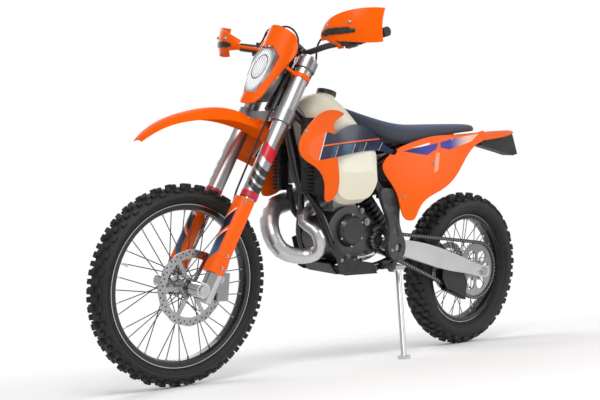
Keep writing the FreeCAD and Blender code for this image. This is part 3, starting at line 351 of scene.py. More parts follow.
def fork_guard_plastic():
    """Orange with a slanted two-part patch in dark and steel blue, kept inside an orange border."""
    shader = Shader("fork_guard_graphics")
    up = shader.along(STEERING_AXIS, FORK_FOOT)
    ahead = shader.along(FORK_AHEAD, FORK_FOOT)
    side = shader.along(LEFT, FORK_FOOT).math("ABSOLUTE")
    round_it = side - 107 - (ahead - 60) * 0.35
    inner = round_it.band(-22, 18, 2)
    slant = up - round_it * 1.1
    orange, navy, steel = panel_colours()
    patch = slant.band(118, 196, 2).larger(slant.band(216, 272, 2)) * inner
    fade = up.ramp(120, 215)
    colour = shader.mix(patch, orange, shader.mix(fade, steel, navy))
    pin = slant.band(200, 205).larger(slant.band(277, 282))
    colour = shader.mix(pin * inner, colour, (0.85, 0.85, 0.85))
    return shader.finish(base_color=colour, roughness=0.32, coat_weight=0.1, coat_roughness=0.1,
                         specular_ior_level=0.25, normal=peel(shader))


def black_plastic(name="black_plastic", colour=(0.012, 0.012, 0.013), roughness=0.42):
    """Textured black moulding."""
    shader = Shader(name)
    grain = shader.noise(1500.0, 3.0)
    wear = shader.noise(30.0, 5.0, 0.7).ramp(0.4, 0.8)
    lighter = tuple(c * 2.2 + 0.006 for c in colour)
    return shader.finish(base_color=shader.mix(wear, colour, lighter), roughness=wear * 0.15 + roughness,
                         normal=shader.bump(grain, 0.25, 0.0004))


def tank_plastic():
    """Unpainted translucent tank, darker towards the bottom."""
    shader = Shader("tank_plastic")
    cloud = shader.noise(6.0, 3.0).ramp(0.3, 0.8)
    # darker towards the bottom of the tank
    low = shader.along(UP, GROUND).ramp(640, 760)
    cream = tuple(settings().tank_cream)
    deeper = tuple(c * s for c, s in zip(cream, (0.9, 0.86, 0.74)))
    colour = shader.mix(cloud * 0.6, cream, deeper)
    colour = shader.mix(low * -0.35 + 0.35, colour, deeper)
    return shader.finish(base_color=colour, roughness=0.38, subsurface_weight=0.12, subsurface_scale=0.02,
                         normal=shader.bump(shader.noise(500.0, 2.0), 0.06, 0.0006))


def seat_cover():
    """Grippy ribbed cover, with a painted highlight on top and painted shade on the sides."""
    shader = Shader("seat_cover")
    navy = tuple(settings().seat_navy)
    # painted light: faces that look up are painted lighter as a highlight, the sides darker as shade
    face = shader.node("ShaderNodeNewGeometry", output="Normal")
    top = shader.vector("DOT_PRODUCT", face, tuple(UP)).ramp(0.35, 0.85)
    lighter = tuple(c * 1.7 + 0.006 for c in navy)
    darker = tuple(c * 0.35 for c in navy)
    colour = shader.mix(top, darker, lighter)
    colour = shader.mix(shader.noise(35.0, 5.0, 0.7).ramp(0.3, 0.8) * 0.35, colour, navy)
    pores = shader.node("ShaderNodeTexVoronoi", {}, {"Vector": shader.place(), "Scale": 700.0})
    return shader.finish(base_color=colour, roughness=0.62, sheen_weight=0.15,
                         normal=shader.bump(pores, 0.35, 0.0005))


def metal(name, colour, roughness, variation=0.06, grain=0.12, metallic=1.0, scale=260.0, stretch=None):
    """Metal with a fine grain and slow changes of its polish."""
    shader = Shader(name)
    slow = shader.noise(14.0, 4.0, 0.6).ramp(0.3, 0.75)
    place = shader.place()
    if stretch:
        place = shader.node("ShaderNodeMapping", {}, {"Vector": place, "Scale": stretch})
    fine = shader.node("ShaderNodeTexNoise", {}, {"Vector": place, "Scale": scale, "Detail": 4.0})
    darker = tuple(c * 0.78 for c in colour)
    return shader.finish(base_color=shader.mix(slow * 0.5, colour, darker), metallic=metallic,
                         roughness=slow * variation + roughness, normal=shader.bump(fine, grain, 0.0004))


def painted(name, colour, roughness=0.25, coat=0.4):
    """Powder-coated metal with a fine orange peel and rubbed edges."""
    shader = Shader(name)
    peel = shader.noise(700.0, 2.0)
    wear = shader.noise(25.0, 6.0, 0.7).ramp(0.55, 0.85)
    lighter = tuple(c * 2.5 + 0.01 for c in colour)
    return shader.finish(base_color=shader.mix(wear * 0.6, colour, lighter),
                         roughness=wear * 0.15 + roughness, coat_weight=coat, coat_roughness=0.15,
                         normal=shader.bump(peel, 0.12, 0.0004))


# Drilled holes in each ring of a disc, painted as near-black spots of shade.
DISC_HOLES = 30


def disc_metal(name, axle, node):
    """Ground brake disc steel with two rings of drilled holes near its edge, painted as near-black spots:
    painted shade in place of real holes.
    """
    offsets = [vert.co - axle for vert in frame["nodes"][node].data.vertices]
    outer = max((offset - LEFT * LEFT.dot(offset)).length for offset in offsets) / MM
    shader = Shader(name)
    x, z = shader.along(FORWARD, axle), shader.along(UP, axle)
    reach = (x * x + z * z).math("SQRT")
    turn = z.math("ARCTAN2", x) / (2 * math.pi)
    rings = []
    for radius, shift in ((outer - 8, 0.0), (outer - 17, 0.5)):
        pitch = 2 * math.pi * radius / DISC_HOLES
        along = ((turn * DISC_HOLES + shift + 0.5).math("FRACT") - 0.5) * pitch
        off = reach - radius
        rings.append(1 - (along * along + off * off).math("SQRT").ramp(2.7, 3.5))
    # painted shade: near-black spots where the drilled holes are
    painted_hole_shade = any_of(rings)
    slow = shader.noise(14.0, 4.0, 0.6).ramp(0.3, 0.75)
    ground = shader.mix(slow, (0.46, 0.46, 0.47), (0.34, 0.34, 0.35))
    colour = shader.mix(painted_hole_shade, ground, (0.01, 0.01, 0.01))
    return shader.finish(base_color=colour, metallic=1 - painted_hole_shade, roughness=slow * 0.08 + 0.26,
                         normal=shader.bump(shader.noise(300.0, 3.0), 0.1, 0.0003))


def rim_paint(name, axle, flange):
    """Black rim with a painted highlight: a thin bright metal line on the flange's edge."""
    shader = Shader(name)
    offset = shader.vector("SUBTRACT", shader.place(), tuple(axle))
    across = shader.vector("DOT_PRODUCT", offset, tuple(LEFT))
    length = shader.vector("LENGTH", offset)
    radius = (length * length - across * across).math("SQRT") / MM
    # painted highlight: a thin bright metal line along the flange's edge
    bright = radius.ramp(flange - 3.2, flange - 2.6)
    wear = shader.noise(40.0, 5.0, 0.7).ramp(0.5, 0.85)
    black = shader.mix(wear, (0.008, 0.008, 0.009), (0.02, 0.02, 0.022))
    colour = shader.mix(bright, black, (0.5, 0.5, 0.52))
    return shader.finish(base_color=colour, metallic=bright, roughness=wear * 0.12 + 0.22,
                         coat_weight=0.3, coat_roughness=0.12)


def fork_alloy():
    """Silver fork legs with slanted red and dark bands near their feet."""
    shader = Shader("fork_outer_alloy")
    up = shader.along(STEERING_AXIS, FRONT_AXLE)
    left = shader.along(LEFT, GROUND)
    slant = up + left.math("ABSOLUTE") * 0.9
    red = slant.band(618, 668)
    dark = any_of([slant.band(start, start + 23) for start in (500, 532, 564)])
    side = left.math("ABSOLUTE").ramp(111, 113)
    silver = (0.56, 0.565, 0.575)
    slow = shader.noise(12.0, 3.0).ramp(0.3, 0.75)
    colour = shader.mix(slow * 0.4, silver, (0.44, 0.445, 0.455))
    colour = shader.mix(dark * side, colour, (0.03, 0.03, 0.032))
    colour = shader.mix(red * side, colour, (0.62, 0.01, 0.03))
    marks = dark.larger(red) * side
    fine = shader.noise(300.0, 4.0)
    return shader.finish(base_color=colour, metallic=1 - marks, roughness=slow * 0.06 + 0.3,
                         normal=shader.bump(fine, 0.08, 0.0003))


def pipe_metal():
    """Plated steel, warmer near the header, with polished and dull patches."""
    shader = Shader("pipe_plating")
    slow = shader.noise(8.0, 5.0, 0.65).ramp(0.3, 0.75)
    warm = shader.noise(4.0, 2.0).ramp(0.45, 0.7)
    near = (shader.along(FORWARD, GROUND) * -1).ramp(-1000, -900)
    colour = shader.mix(slow * 0.5, (0.66, 0.66, 0.67), (0.46, 0.46, 0.47))
    colour = shader.mix(warm * near * 0.3, colour, (0.42, 0.29, 0.20))
    fine = shader.noise(380.0, 4.0)
    return shader.finish(base_color=colour, metallic=1.0, roughness=slow * 0.14 + 0.34,
                         normal=shader.bump(fine, 0.1, 0.0003))


def tyre_rubber():
    """Dull black rubber with dusted lug faces."""
    shader = Shader("tyre_rubber")
    dust = shader.noise(40.0, 6.0, 0.7).ramp(0.4, 0.85)
    fine = shader.noise(900.0, 3.0)
    return shader.finish(base_color=shader.mix(dust, (0.008, 0.008, 0.0085), (0.024, 0.024, 0.024)),
                         roughness=dust * 0.12 + 0.62, normal=shader.bump(fine, 0.3, 0.0005))


def clear_lens():
    """The lamp's lens with its bowl and rim drawn on it: an opaque finish under a hard gloss."""
    shader = Shader("clear_lens")
    spots = [vert.co for vert in frame["nodes"]["headlight"].data.vertices]
    levels, sides = ([spot.dot(way) for spot in spots] for way in (STEERING_AXIS, LEFT))
    middle = STEERING_AXIS * ((max(levels) + min(levels)) / 2)
    tall, wide = (max(levels) - min(levels)) / 2 / MM, (max(sides) - min(sides)) / 2 / MM
    up, across = shader.along(STEERING_AXIS, middle), shader.along(LEFT, GROUND)
    flutes = (across * 0.55).math("SINE")
    up_share, across_share = up / tall, across / wide
    lifted = up_share - 0.12
    reach = (up_share * up_share + across_share * across_share).math("SQRT")
    bowl = (lifted * lifted * 1.5 + across_share * across_share).math("SQRT")
    rim = bowl.band(0.56, 0.64, 0.02)
    colour = shader.mix(reach.ramp(0.72, 1.0), (0.86, 0.88, 0.90), (0.20, 0.205, 0.215))
    colour = shader.mix(bowl.ramp(0.05, 0.5) * (1 - bowl.ramp(0.56, 0.58)) * 0.35, colour, (0.45, 0.46, 0.48))
    colour = shader.mix(rim, colour, (0.05, 0.05, 0.055))
    return shader.finish(base_color=colour, metallic=0.45, roughness=0.16, coat_weight=1.0,
                         coat_roughness=0.02, normal=shader.bump(flutes, 0.25, 0.002))


def seal_rubber():
    shader = Shader("red_seal")
    fine = shader.noise(500.0, 3.0)
    return shader.finish(base_color=shader.mix(fine.ramp(0.3, 0.8), (0.62, 0.012, 0.03), (0.42, 0.01, 0.02)),
                         roughness=0.38, normal=shader.bump(fine, 0.15, 0.0003))


def settings():
    return bpy.context.scene.machine_finish


def sizes():
    return bpy.context.scene.machine_sizes


def dress(name, material):
    """Give a CAD node its material."""
    node = frame["nodes"].get(name)
    if node is not None:
        node.data.materials.clear()
        node.data.materials.append(material)


# The rims' painted highlight lines on the flange edges: how far they are from the axle.
FRONT_RIM_HIGHLIGHT, REAR_RIM_HIGHLIGHT = 279, 240


class MACHINE_OT_finishes(bpy.types.Operator):
    """Give every CAD piece its finish"""

    bl_idname = "machine.finishes"
    bl_label = "Finishes"

    def execute(self, context):
        orange = panel_plastic()
        black = black_plastic()
        grey = black_plastic("guard_plastic", (0.040, 0.041, 0.045), 0.34)
        gloss_black = painted("frame_paint", (0.006, 0.006, 0.0065))
        cover = painted("cover_paint", (0.028, 0.028, 0.030), 0.35, 0.15)
        cast = metal("cast_alloy", (0.13, 0.13, 0.135), 0.42, 0.12, 0.5, 0.95, 420.0)
        barrel = metal("cylinder_alloy", (0.40, 0.40, 0.41), 0.38, 0.12, 0.4, 0.95, 420.0)
        links = metal("chain_steel", (0.11, 0.108, 0.10), 0.34, 0.1, 0.3)
        bright = metal("bright_alloy", (0.58, 0.585, 0.595), 0.28)
        satin = metal("swingarm_alloy", (0.70, 0.705, 0.715), 0.38, 0.05, 0.08, 0.85)
        clamp = metal("clamp_alloy", (0.36, 0.36, 0.37), 0.34, 0.06, 0.2)
        steel = metal("steel", (0.52, 0.52, 0.53), 0.26)
        sprocket = metal("sprocket_steel", (0.42, 0.42, 0.43), 0.28, 0.05, 0.16)
        dark_steel = metal("spoke_steel", (0.10, 0.10, 0.105), 0.3)
        chrome = metal("fork_chrome", (0.62, 0.62, 0.63), 0.08, 0.03, 0.02)
        rubber = black_plastic("grip_rubber", (0.010, 0.010, 0.010), 0.6)
        tyre = tyre_rubber()
        front_rim = rim_paint("front_rim_paint", FRONT_AXLE, FRONT_RIM_HIGHLIGHT)
        rear_rim = rim_paint("rear_rim_paint", REAR_AXLE, REAR_RIM_HIGHLIGHT)
        plan = {
            "frame": gloss_black, "subframe": gloss_black, "frame_guards": grey, "swingarm": satin,
            "swingarm_pivot_bolt": steel, "rear_axle": steel, "crankcase": cast, "ignition_cover": cover,
            "clutch_cover": cover, "cylinder": barrel, "cylinder_head": barrel, "exhaust_pipe": pipe_metal(),
            "silencer": satin, "skid_plate": black, "radiators": gloss_black, "radiator_guards": black,
            "fuel_tank": tank_plastic(), "fuel_cap": black, "seat": seat_cover(), "shrouds": orange,
            "shroud_wings": wing_plastic(), "side_panels": side_panel_plastic(), "rear_fender": orange,
            "tail_light": black, "airbox": black, "shock": cover, "chain": links, "front_sprocket": steel,
            "rear_caliper": cover, "footpegs": steel, "triple_clamps": clamp,
            "fork_outer_tubes": fork_alloy(), "fork_inner_tubes": chrome, "wiper_rings": seal_rubber(),
            "fork_guards": fork_guard_plastic(), "front_axle": bright, "front_caliper": clamp,
            "front_fender": fender_plastic(), "headlight_mask": orange, "headlight": clear_lens(),
            "handlebar": cover, "grips": rubber, "handguards": orange, "front_tyre": tyre, "rear_tyre": tyre,
            "front_rim": front_rim, "rear_rim": rear_rim, "front_hub": bright, "rear_hub": bright,
            "front_spokes": dark_steel, "rear_spokes": dark_steel,
            "front_disc": disc_metal("front_disc_steel", FRONT_AXLE, "front_disc"),
            "rear_disc": disc_metal("rear_disc_steel", REAR_AXLE, "rear_disc"),
            "rear_sprocket": sprocket, "side_stand": satin,
        }
        missing = sorted(set(frame["nodes"]) - set(plan))
        if missing:
            raise RuntimeError("no finish for " + ", ".join(missing))
        for name, material in plan.items():
            dress(name, material)
        return {"FINISHED"}


def shade(obj, angle=35):
    """Smooth faces that meet at less than an angle."""
    for polygon in obj.data.polygons:
        polygon.use_smooth = True
    obj.data.set_sharp_from_angle(angle=math.radians(angle))


def plain_mesh(obj):
    """Turn an object's modifiers into its own mesh."""
    bpy.context.view_layer.update()
    graph = bpy.context.evaluated_depsgraph_get()
    mesh = bpy.data.meshes.new_from_object(obj.evaluated_get(graph))
    obj.modifiers.clear()
    obj.data = mesh
    return obj


def add_object(name, mesh, material, body):
    obj = bpy.data.objects.new(name, mesh)
    bpy.context.scene.collection.objects.link(obj)
    if material is not None and not mesh.materials:
        mesh.materials.append(material)
    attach(obj, body)
    return obj


# The seat's outline: ahead of the rear axle, half width, top, low edge, in millimetres.
SEAT_STATIONS = [
    (832, 36, 1004, 986), (800, 60, 999, 954), (735, 89, 983, 909), (650, 112, 966, 886),
    (557, 118, 953, 862), (465, 114, 950, 870), (370, 105, 955, 893), (278, 95, 962, 911),
    (150, 81, 970, 931), (40, 63, 977, 943), (4, 44, 970, 949),
]
SEAT_RING = [(0.0, 1.0), (0.3, 0.995), (0.55, 0.97), (0.78, 0.88), (0.9, 0.7), (0.97, 0.45), (0.99, 0.22),
             (0.95, 0.04), (0.8, 0.02), (0.4, 0.05)]


class MACHINE_OT_seat(bpy.types.Operator):
    """Make the seat as a padded cover over its foam"""

    bl_idname = "machine.seat"
    bl_label = "Seat"

    def execute(self, context):
        mesh = bpy.data.meshes.new("seat_cushion")
        build = bmesh.new()
        rings = []
        for x, half, top, low in SEAT_STATIONS:
            ring = SEAT_RING + [(-side, up) for side, up in reversed(SEAT_RING[1:])]
            rings.append([build.verts.new(at(x, half * side, low + (top - low) * up)) for side, up in ring])
        for first, second in zip(rings, rings[1:]):
            for index in range(len(first)):
                after = (index + 1) % len(first)
                build.faces.new((first[index], first[after], second[after], second[index]))
        build.faces.new(rings[0])
        build.faces.new(list(reversed(rings[-1])))
        bmesh.ops.recalc_face_normals(build, faces=build.faces)
        build.to_mesh(mesh)
        build.free()
        obj = bpy.data.objects.new("seat_cushion", mesh)
        context.scene.collection.objects.link(obj)
        subdivide = obj.modifiers.new("round", "SUBSURF")
        subdivide.levels = subdivide.render_levels = 2
        plain_mesh(obj)
        obj.data.materials.clear()
        obj.data.materials.append(frame["nodes"]["seat"].data.materials[0])
        for polygon in obj.data.polygons:
            polygon.use_smooth = True
        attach(obj, "chassis")
        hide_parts("seat")
        return {"FINISHED"}


def finish_of(node):
    """The material that a CAD node wears."""
    return frame["nodes"][node].data.materials[0]


class Piece:
    """Geometry gathered for one object that rides on one body."""

    def __init__(self, name, body, slot, material):
        self.name, self.body, self.slot, self.material = name, body, slot, material
        self.build = bmesh.new()

    def rod(self, start, end, radius, end_radius=None, sides=28):
        """A round bar, or a cone, between two points."""
        along = end - start
        place = Matrix.Translation((start + end) / 2) @ along.to_track_quat("Z", "Y").to_matrix().to_4x4()
        bmesh.ops.create_cone(self.build, cap_ends=True, segments=sides, radius1=radius * MM,
                              radius2=(radius if end_radius is None else end_radius) * MM,
                              depth=along.length, matrix=place)

    def ball(self, centre, radius):
        bmesh.ops.create_uvsphere(self.build, u_segments=20, v_segments=12, radius=radius * MM,
                                  matrix=Matrix.Translation(centre))

    def ring(self, centre, axis, radius, wire, sides=56, wire_sides=10):
        """A round bead about an axis."""
        axis = axis.normalized()
        side = axis.orthogonal().normalized()
        other = axis.cross(side)
        rows = []
        for number in range(sides):
            turn = 2 * math.pi * number / sides
            out = side * math.cos(turn) + other * math.sin(turn)
            row = []
            for step in range(wire_sides):
                roll = 2 * math.pi * step / wire_sides
                offset = out * (radius + wire * math.cos(roll)) + axis * (wire * math.sin(roll))
                row.append(self.build.verts.new(centre + offset * MM))
            rows.append(row)
        self.quads(rows, True)

    def quads(self, rows, closed):
        """Faces between rows of corners, each row a closed loop."""
        pairs = zip(rows, rows[1:] + rows[:1]) if closed else zip(rows, rows[1:])
        for first, second in pairs:
            for index in range(len(first)):
                after = (index + 1) % len(first)
                self.build.faces.new((first[index], first[after], second[after], second[index]))

    def cap(self, rows):
        """Close both ends of a run of rows."""
        self.build.faces.new(rows[0])
        self.build.faces.new(list(reversed(rows[-1])))

    def block(self, centre, half, axes=None):
        """A box with half sizes in millimetres along three axes."""
        axes = axes or (FORWARD, LEFT, UP)
        basis = Matrix([axis * size * 2 * MM for axis, size in zip(axes, half)]).transposed().to_4x4()
        made = bmesh.ops.create_cube(self.build, size=1, matrix=Matrix.Translation(centre) @ basis)
        edges = {edge for vert in made["verts"] for edge in vert.link_edges}
        bmesh.ops.bevel(self.build, geom=list(edges), offset=min(half) * 0.35 * MM, segments=3,
                        affect="EDGES", profile=0.7)

    def sweep(self, points, radii, flat=1.0, sides=14):
        """A rounded bar along a smooth line through points, with a radius at each; flat scales its height."""
        line = smooth_line(points)
        rows = []
        for number, place in enumerate(line):
            share = number / (len(line) - 1) * (len(radii) - 1)
            low = min(int(share), len(radii) - 2)
            radius = radii[low] + (radii[low + 1] - radii[low]) * (share - low)
            along = (line[min(number + 1, len(line) - 1)] - line[max(number - 1, 0)]).normalized()
            side = along.cross(UP).normalized()
            other = side.cross(along)
            row = []
            for step in range(sides):
                turn = 2 * math.pi * step / sides
                offset = side * math.cos(turn) + other * (math.sin(turn) * flat)
                row.append(self.build.verts.new(place + offset * radius * MM))
            rows.append(row)
        self.quads(rows, False)
        self.cap(rows)

    def done(self, angle=35):
        bmesh.ops.remove_doubles(self.build, verts=self.build.verts, dist=1e-6)
        bmesh.ops.recalc_face_normals(self.build, faces=self.build.faces)
        mesh = bpy.data.meshes.new(self.name)
        self.build.to_mesh(mesh)
        self.build.free()
        obj = add_object(self.name, mesh, self.material, self.body)
        shade(obj, angle)
        return obj


def smooth_line(points, steps=8):
    """A smooth line through points."""
    ends = [points[0] * 2 - points[1]] + list(points) + [points[-1] * 2 - points[-2]]
    line = []
    for a, b, c, d in zip(ends, ends[1:], ends[2:], ends[3:]):
        for step in range(steps):
            t = step / steps
            square = a * 2 - b * 5 + c * 4 - d
            cube = b * 3 - a - c * 3 + d
            line.append((b * 2 + (c - a) * t + square * t * t + cube * t ** 3) / 2)
    return line + [points[-1]]


def hoses(name, routes, radius, body, material):
    """Round hoses, each a NURBS spline with its route's points as control points."""
    curve = bpy.data.curves.new(name, "CURVE")
    curve.dimensions = "3D"
    curve.bevel_depth = radius * MM
    curve.bevel_resolution = 4
    curve.use_fill_caps = True
    curve.resolution_u = 10
    for route in routes:
        spline = curve.splines.new("NURBS")
        spline.points.add(len(route) - 1)
        for point, place in zip(spline.points, route):
            point.co = (*place, 1)
        spline.order_u = 3
        spline.use_endpoint_u = True
    source = bpy.data.objects.new(name + "_route", curve)
    bpy.context.scene.collection.objects.link(source)
    bpy.context.view_layer.update()
    graph = bpy.context.evaluated_depsgraph_get()
    mesh = bpy.data.meshes.new_from_object(source.evaluated_get(graph))
    bpy.data.objects.remove(source)
    mesh.materials.clear()
    obj = add_object(name, mesh, material, body)
    for polygon in mesh.polygons:
        polygon.use_smooth = True
    return obj


def repeats_group():
    """Geometry Nodes that set one piece at each point, turned and sized by the points' own attributes."""
    group = bpy.data.node_groups.new("placed_repeats", "GeometryNodeTree")
    for name, kind in (("Points", "NodeSocketGeometry"), ("Piece", "NodeSocketObject"),
                       ("Material", "NodeSocketMaterial")):
        group.interface.new_socket(name=name, in_out="INPUT", socket_type=kind)
    group.interface.new_socket(name="Geometry", in_out="OUTPUT", socket_type="NodeSocketGeometry")
    given, result, info, turned, place, realized, painted_set = (group.nodes.new(kind) for kind in (
        "NodeGroupInput", "NodeGroupOutput", "GeometryNodeObjectInfo", "FunctionNodeEulerToRotation",
        "GeometryNodeInstanceOnPoints", "GeometryNodeRealizeInstances", "GeometryNodeSetMaterial"))
    turn, size = (group.nodes.new("GeometryNodeInputNamedAttribute") for _ in range(2))
    for attribute, name in ((turn, "turn"), (size, "size")):
        attribute.data_type = "FLOAT_VECTOR"
        attribute.inputs["Name"].default_value = name
    for source, target in (
            (given.outputs["Points"], place.inputs["Points"]),
            (given.outputs["Piece"], info.inputs["Object"]),
            (info.outputs["Geometry"], place.inputs["Instance"]),
            (turn.outputs["Attribute"], turned.inputs[0]),
            (turned.outputs[0], place.inputs["Rotation"]),
            (size.outputs["Attribute"], place.inputs["Scale"]),
            (place.outputs["Instances"], realized.inputs["Geometry"]),
            (realized.outputs["Geometry"], painted_set.inputs["Geometry"]),
            (given.outputs["Material"], painted_set.inputs["Material"]),
            (painted_set.outputs["Geometry"], result.inputs["Geometry"])):
        group.links.new(source, target)
    return group


def template(name, shape):
    """A small piece to be repeated, its foot at the origin, its axis up Z and its shape a stack of cones.

    Each cone is (low, high, radius, top radius, sides), in millimetres.
    """
    build = bmesh.new()
    for low, high, radius, top_radius, sides in shape:
        bmesh.ops.create_cone(build, cap_ends=True, segments=sides, radius1=radius * MM,
                              radius2=top_radius * MM, depth=(high - low) * MM,
                              matrix=Matrix.Translation((0, 0, (low + high) / 2 * MM)))
    mesh = bpy.data.meshes.new(name)
    build.to_mesh(mesh)
    build.free()
    obj = bpy.data.objects.new(name, mesh)
    bpy.context.scene.collection.objects.link(obj)
    return obj


def repeat(name, piece, places, body, material):
    """One object of a piece repeated at (point, axis, size) places; size is a number or three."""
    group = bpy.data.node_groups.get("placed_repeats") or repeats_group()
    mesh = bpy.data.meshes.new(name)
    mesh.from_pydata([tuple(point) for point, *_ in places], [], [])
    turn = mesh.attributes.new("turn", "FLOAT_VECTOR", "POINT")
    size = mesh.attributes.new("size", "FLOAT_VECTOR", "POINT")
    for index, (point, axis, wanted) in enumerate(places):
        turned = axis if isinstance(axis, Matrix) else axis.to_track_quat("Z", "Y").to_matrix()
        turn.data[index].vector = tuple(turned.to_euler())
        size.data[index].vector = (wanted,) * 3 if isinstance(wanted, (int, float)) else wanted
    obj = add_object(name, mesh, None, body)
    modifier = obj.modifiers.new("repeats", "NODES")
    sockets = {item.name: item.identifier for item in group.interface.items_tree if item.in_out == "INPUT"}
    modifier.node_group = group
    modifier[sockets["Piece"]] = piece
    modifier[sockets["Material"]] = material
    plain_mesh(obj)
    if not obj.data.materials:
        obj.data.materials.append(material)
    shade(obj, 30)
    return obj


def moved(point, *moves):
    """A point moved along directions: each move is a direction and millimetres."""
    for direction, amount in moves:
        point = point + direction * amount * MM
    return point


def fork_route(places):
    """Points given in the fork's frame."""
    return [on_fork(*place) for place in places]


def upright_route(places):
    """Points given in the upright frame."""
    return [at(*place) for place in places]


# The nodes' surfaces as search trees, made when they are first asked for.
TREES = {}


def landed(node, start, direction):
    """Where a line from a point first meets a CAD node, or nothing."""
    tree = TREES.get(node)
    if tree is None:
        obj = frame["nodes"][node]
        corners = [obj.matrix_world @ vert.co for vert in obj.data.vertices]
        faces = [tuple(polygon.vertices) for polygon in obj.data.polygons]
        tree = TREES[node] = BVHTree.FromPolygons(corners, faces)
    return tree.ray_cast(start, direction)[0]


# How far out the lines start that set small pieces down on a node: at the side, ahead and above,
# and ahead of the fork's own axis.
BESIDE, AHEAD, ABOVE, BEFORE_FORK = 400, 1500, 1300, 300


def side_bolts(node, spots, size=1.0):
    """Bolts seen from the side: (x, z, side) spots, set down on a node."""
    places = []
    for x, z, side in spots:
        point = landed(node, at(x, BESIDE * side, z), LEFT * -side)
        if point is not None:
            places.append((point, LEFT * side, size))
    return places


def ring_spots(centre, reach, count, shift=0.5):
    """Points set evenly round the left-right axis through a centre."""
    spots = []
    for number in range(count):
        turn = 2 * math.pi * (number + shift) / count
        spots.append(centre + (FORWARD * math.cos(turn) + UP * math.sin(turn)) * reach * MM)
    return spots


# The grip's ends in the fork's frame: up, ahead, left.
BAR_END = (1028.7, -15.7, 405.0)
BAR_INNER = (1008.0, -28.0, 232.0)
PERCH_INBOARD = 131
HOUSING_INBOARD = 119
BARREL_AHEAD = 31
PORT_INBOARD = 46

# Routes in the fork's frame, between the port and the caliper or the engine.
BRAKE_ROUTE = [(1034, 44, -178), (1049, 66, -62), (1020, 58, 12), (965, 46, 52), (850, 54, 70), (700, 60, 74),
               (560, 62, 76), (420, 58, 74), (340, 50, 66), (240, 6, 62), (165, -40, 62), (112, -45, 62)]
CLUTCH_ROUTE = [(1018, 26, 150), (990, 6, 92), (950, -42, 66), (900, -54, 60), (850, -56, 48)]
HOSE_RADIUS = 3.6
CABLE_RADIUS = 2.6
CABLE_SPACING = 9
# The lever's line from its pivot: outward and ahead.
LEVER_LINE = ((0, -3), (16, 6), (55, 9), (92, 1), (122, -3))


def bar_end(side):
    """The bar's end on one side, and the way outward along the grip."""
    end = on_fork(BAR_END[0], BAR_END[1], BAR_END[2] * side)
    inner = on_fork(BAR_INNER[0], BAR_INNER[1], BAR_INNER[2] * side)
    return end, (end - inner).normalized()


class MACHINE_OT_controls(bpy.types.Operator):
    """Make the levers, their cylinders, the hoses, the cables and the small dash"""

    bl_idname = "machine.controls"
    bl_label = "Controls"

    def lever(self, side, clamps, blades):
        """One lever with its perch and cylinder; gives the cylinder's port and the next point of its hose."""
        end, out = bar_end(side)
        ahead = toward(1, 0, -0.10)
        rise = out.cross(ahead).normalized() * side
        axes = (ahead, out, rise)
        perch = moved(end, (out, -PERCH_INBOARD))
        clamps.rod(moved(perch, (out, -6)), moved(perch, (out, 6)), 17.5)
        clamps.block(moved(perch, (ahead, 22)), (10, 6, 8), axes)
        barrel = moved(perch, (ahead, BARREL_AHEAD))
        clamps.rod(moved(barrel, (out, 12)), moved(barrel, (out, -40)), 10.5)
        clamps.rod(moved(barrel, (out, -40)), moved(barrel, (out, -47)), 7)
        clamps.block(moved(barrel, (out, -12), (rise, 15)), (13, 21, 10), axes)
        for shift in (-14, 14):
            screw = moved(barrel, (out, shift - 12), (rise, 24))
            clamps.rod(screw, moved(screw, (rise, 3)), 2.6, sides=12)
        pivot = moved(barrel, (ahead, 13), (out, 4))
        clamps.rod(moved(pivot, (rise, -11)), moved(pivot, (rise, 11)), 5.5, sides=18)
        route = [moved(pivot, (out, along), (ahead, forward)) for along, forward in LEVER_LINE]
        blades.sweep(route, [7.5, 6.5, 6.0, 5.6, 5.6], 1.25)
        blades.ball(route[-1], 8.2)
        port = moved(barrel, (out, -PORT_INBOARD))
        return [port, moved(port, (out, -25))]

    def execute(self, context):
        cover, rubber = finish_of("handlebar"), finish_of("grips")
        lever_alloy = metal("lever_alloy", (0.055, 0.055, 0.058), 0.3)
        clamps = Piece("lever_perches", "steering", "cover_paint", cover)
        blades = Piece("lever_blades", "steering", "cover_paint", lever_alloy)
        left_start, right_start = (self.lever(side, clamps, blades) for side in (1, -1))
        end, out = bar_end(-1)
        housing = moved(end, (out, -HOUSING_INBOARD))
        clamps.rod(moved(housing, (out, -3)), moved(housing, (out, 9)), 21)
        cable_way = toward(0.3, 0, 1)
        clamps.block(moved(housing, (cable_way, 16)), (12, 9, 11), (FORWARD, out, UP))
        for side in (1, -1):
            clamps.block(on_fork(953, 12, 45 * side), (21, 15, 10), (FORK_AHEAD, LEFT, STEERING_AXIS))
        clamps.done()
        blades.done()
        dash = Piece("dash", "steering", "black_plastic", finish_of("airbox"))
        dash.block(on_fork(966, 34, 0), (13, 33, 24), (STEERING_AXIS, LEFT, FORK_AHEAD))
        dash.rod(on_fork(932, 22, 0), on_fork(958, 30, 0), 9)
        dash.done()
        lines = [right_start + fork_route(BRAKE_ROUTE), left_start + fork_route(CLUTCH_ROUTE)]
        hoses("brake_and_clutch_hoses", lines, HOSE_RADIUS, "steering", rubber)
        cables = []
        for lift in (0, CABLE_SPACING):
            start = [moved(housing, (cable_way, 20)), moved(housing, (toward(0.45, 0.9, 0.7), 52))]
            cables.append(start + fork_route([
                (1046, 52 + lift, -170), (1036, 62 + lift, -80), (1000, 48 + lift, -20), (945, 40, 26 + lift),
                (900, 48, 40 + lift), (850, 44, 52)]))
        hoses("throttle_cables", cables, CABLE_RADIUS, "steering", rubber)
        return {"FINISHED"}


SPOKES = 36
SPOKE_LEAD = math.radians(62)
NIPPLE_ACROSS = 7
# Each wheel: axle, reach of the rim's bed and of the hub's flange, half width at the flange, valve's reach.
WHEELS = {
    "front": (FRONT_AXLE, 256.6, 35, 28, 259),
    "rear": (REAR_AXLE, 216.6, 44, 30, 219),
}
VALVE_TURN = 0.35
# The valve stem from its foot inward: each length's start, end and radius.
VALVE_STEPS = ((0, 9, 4.6), (9, 30, 3.0), (30, 38, 3.8))
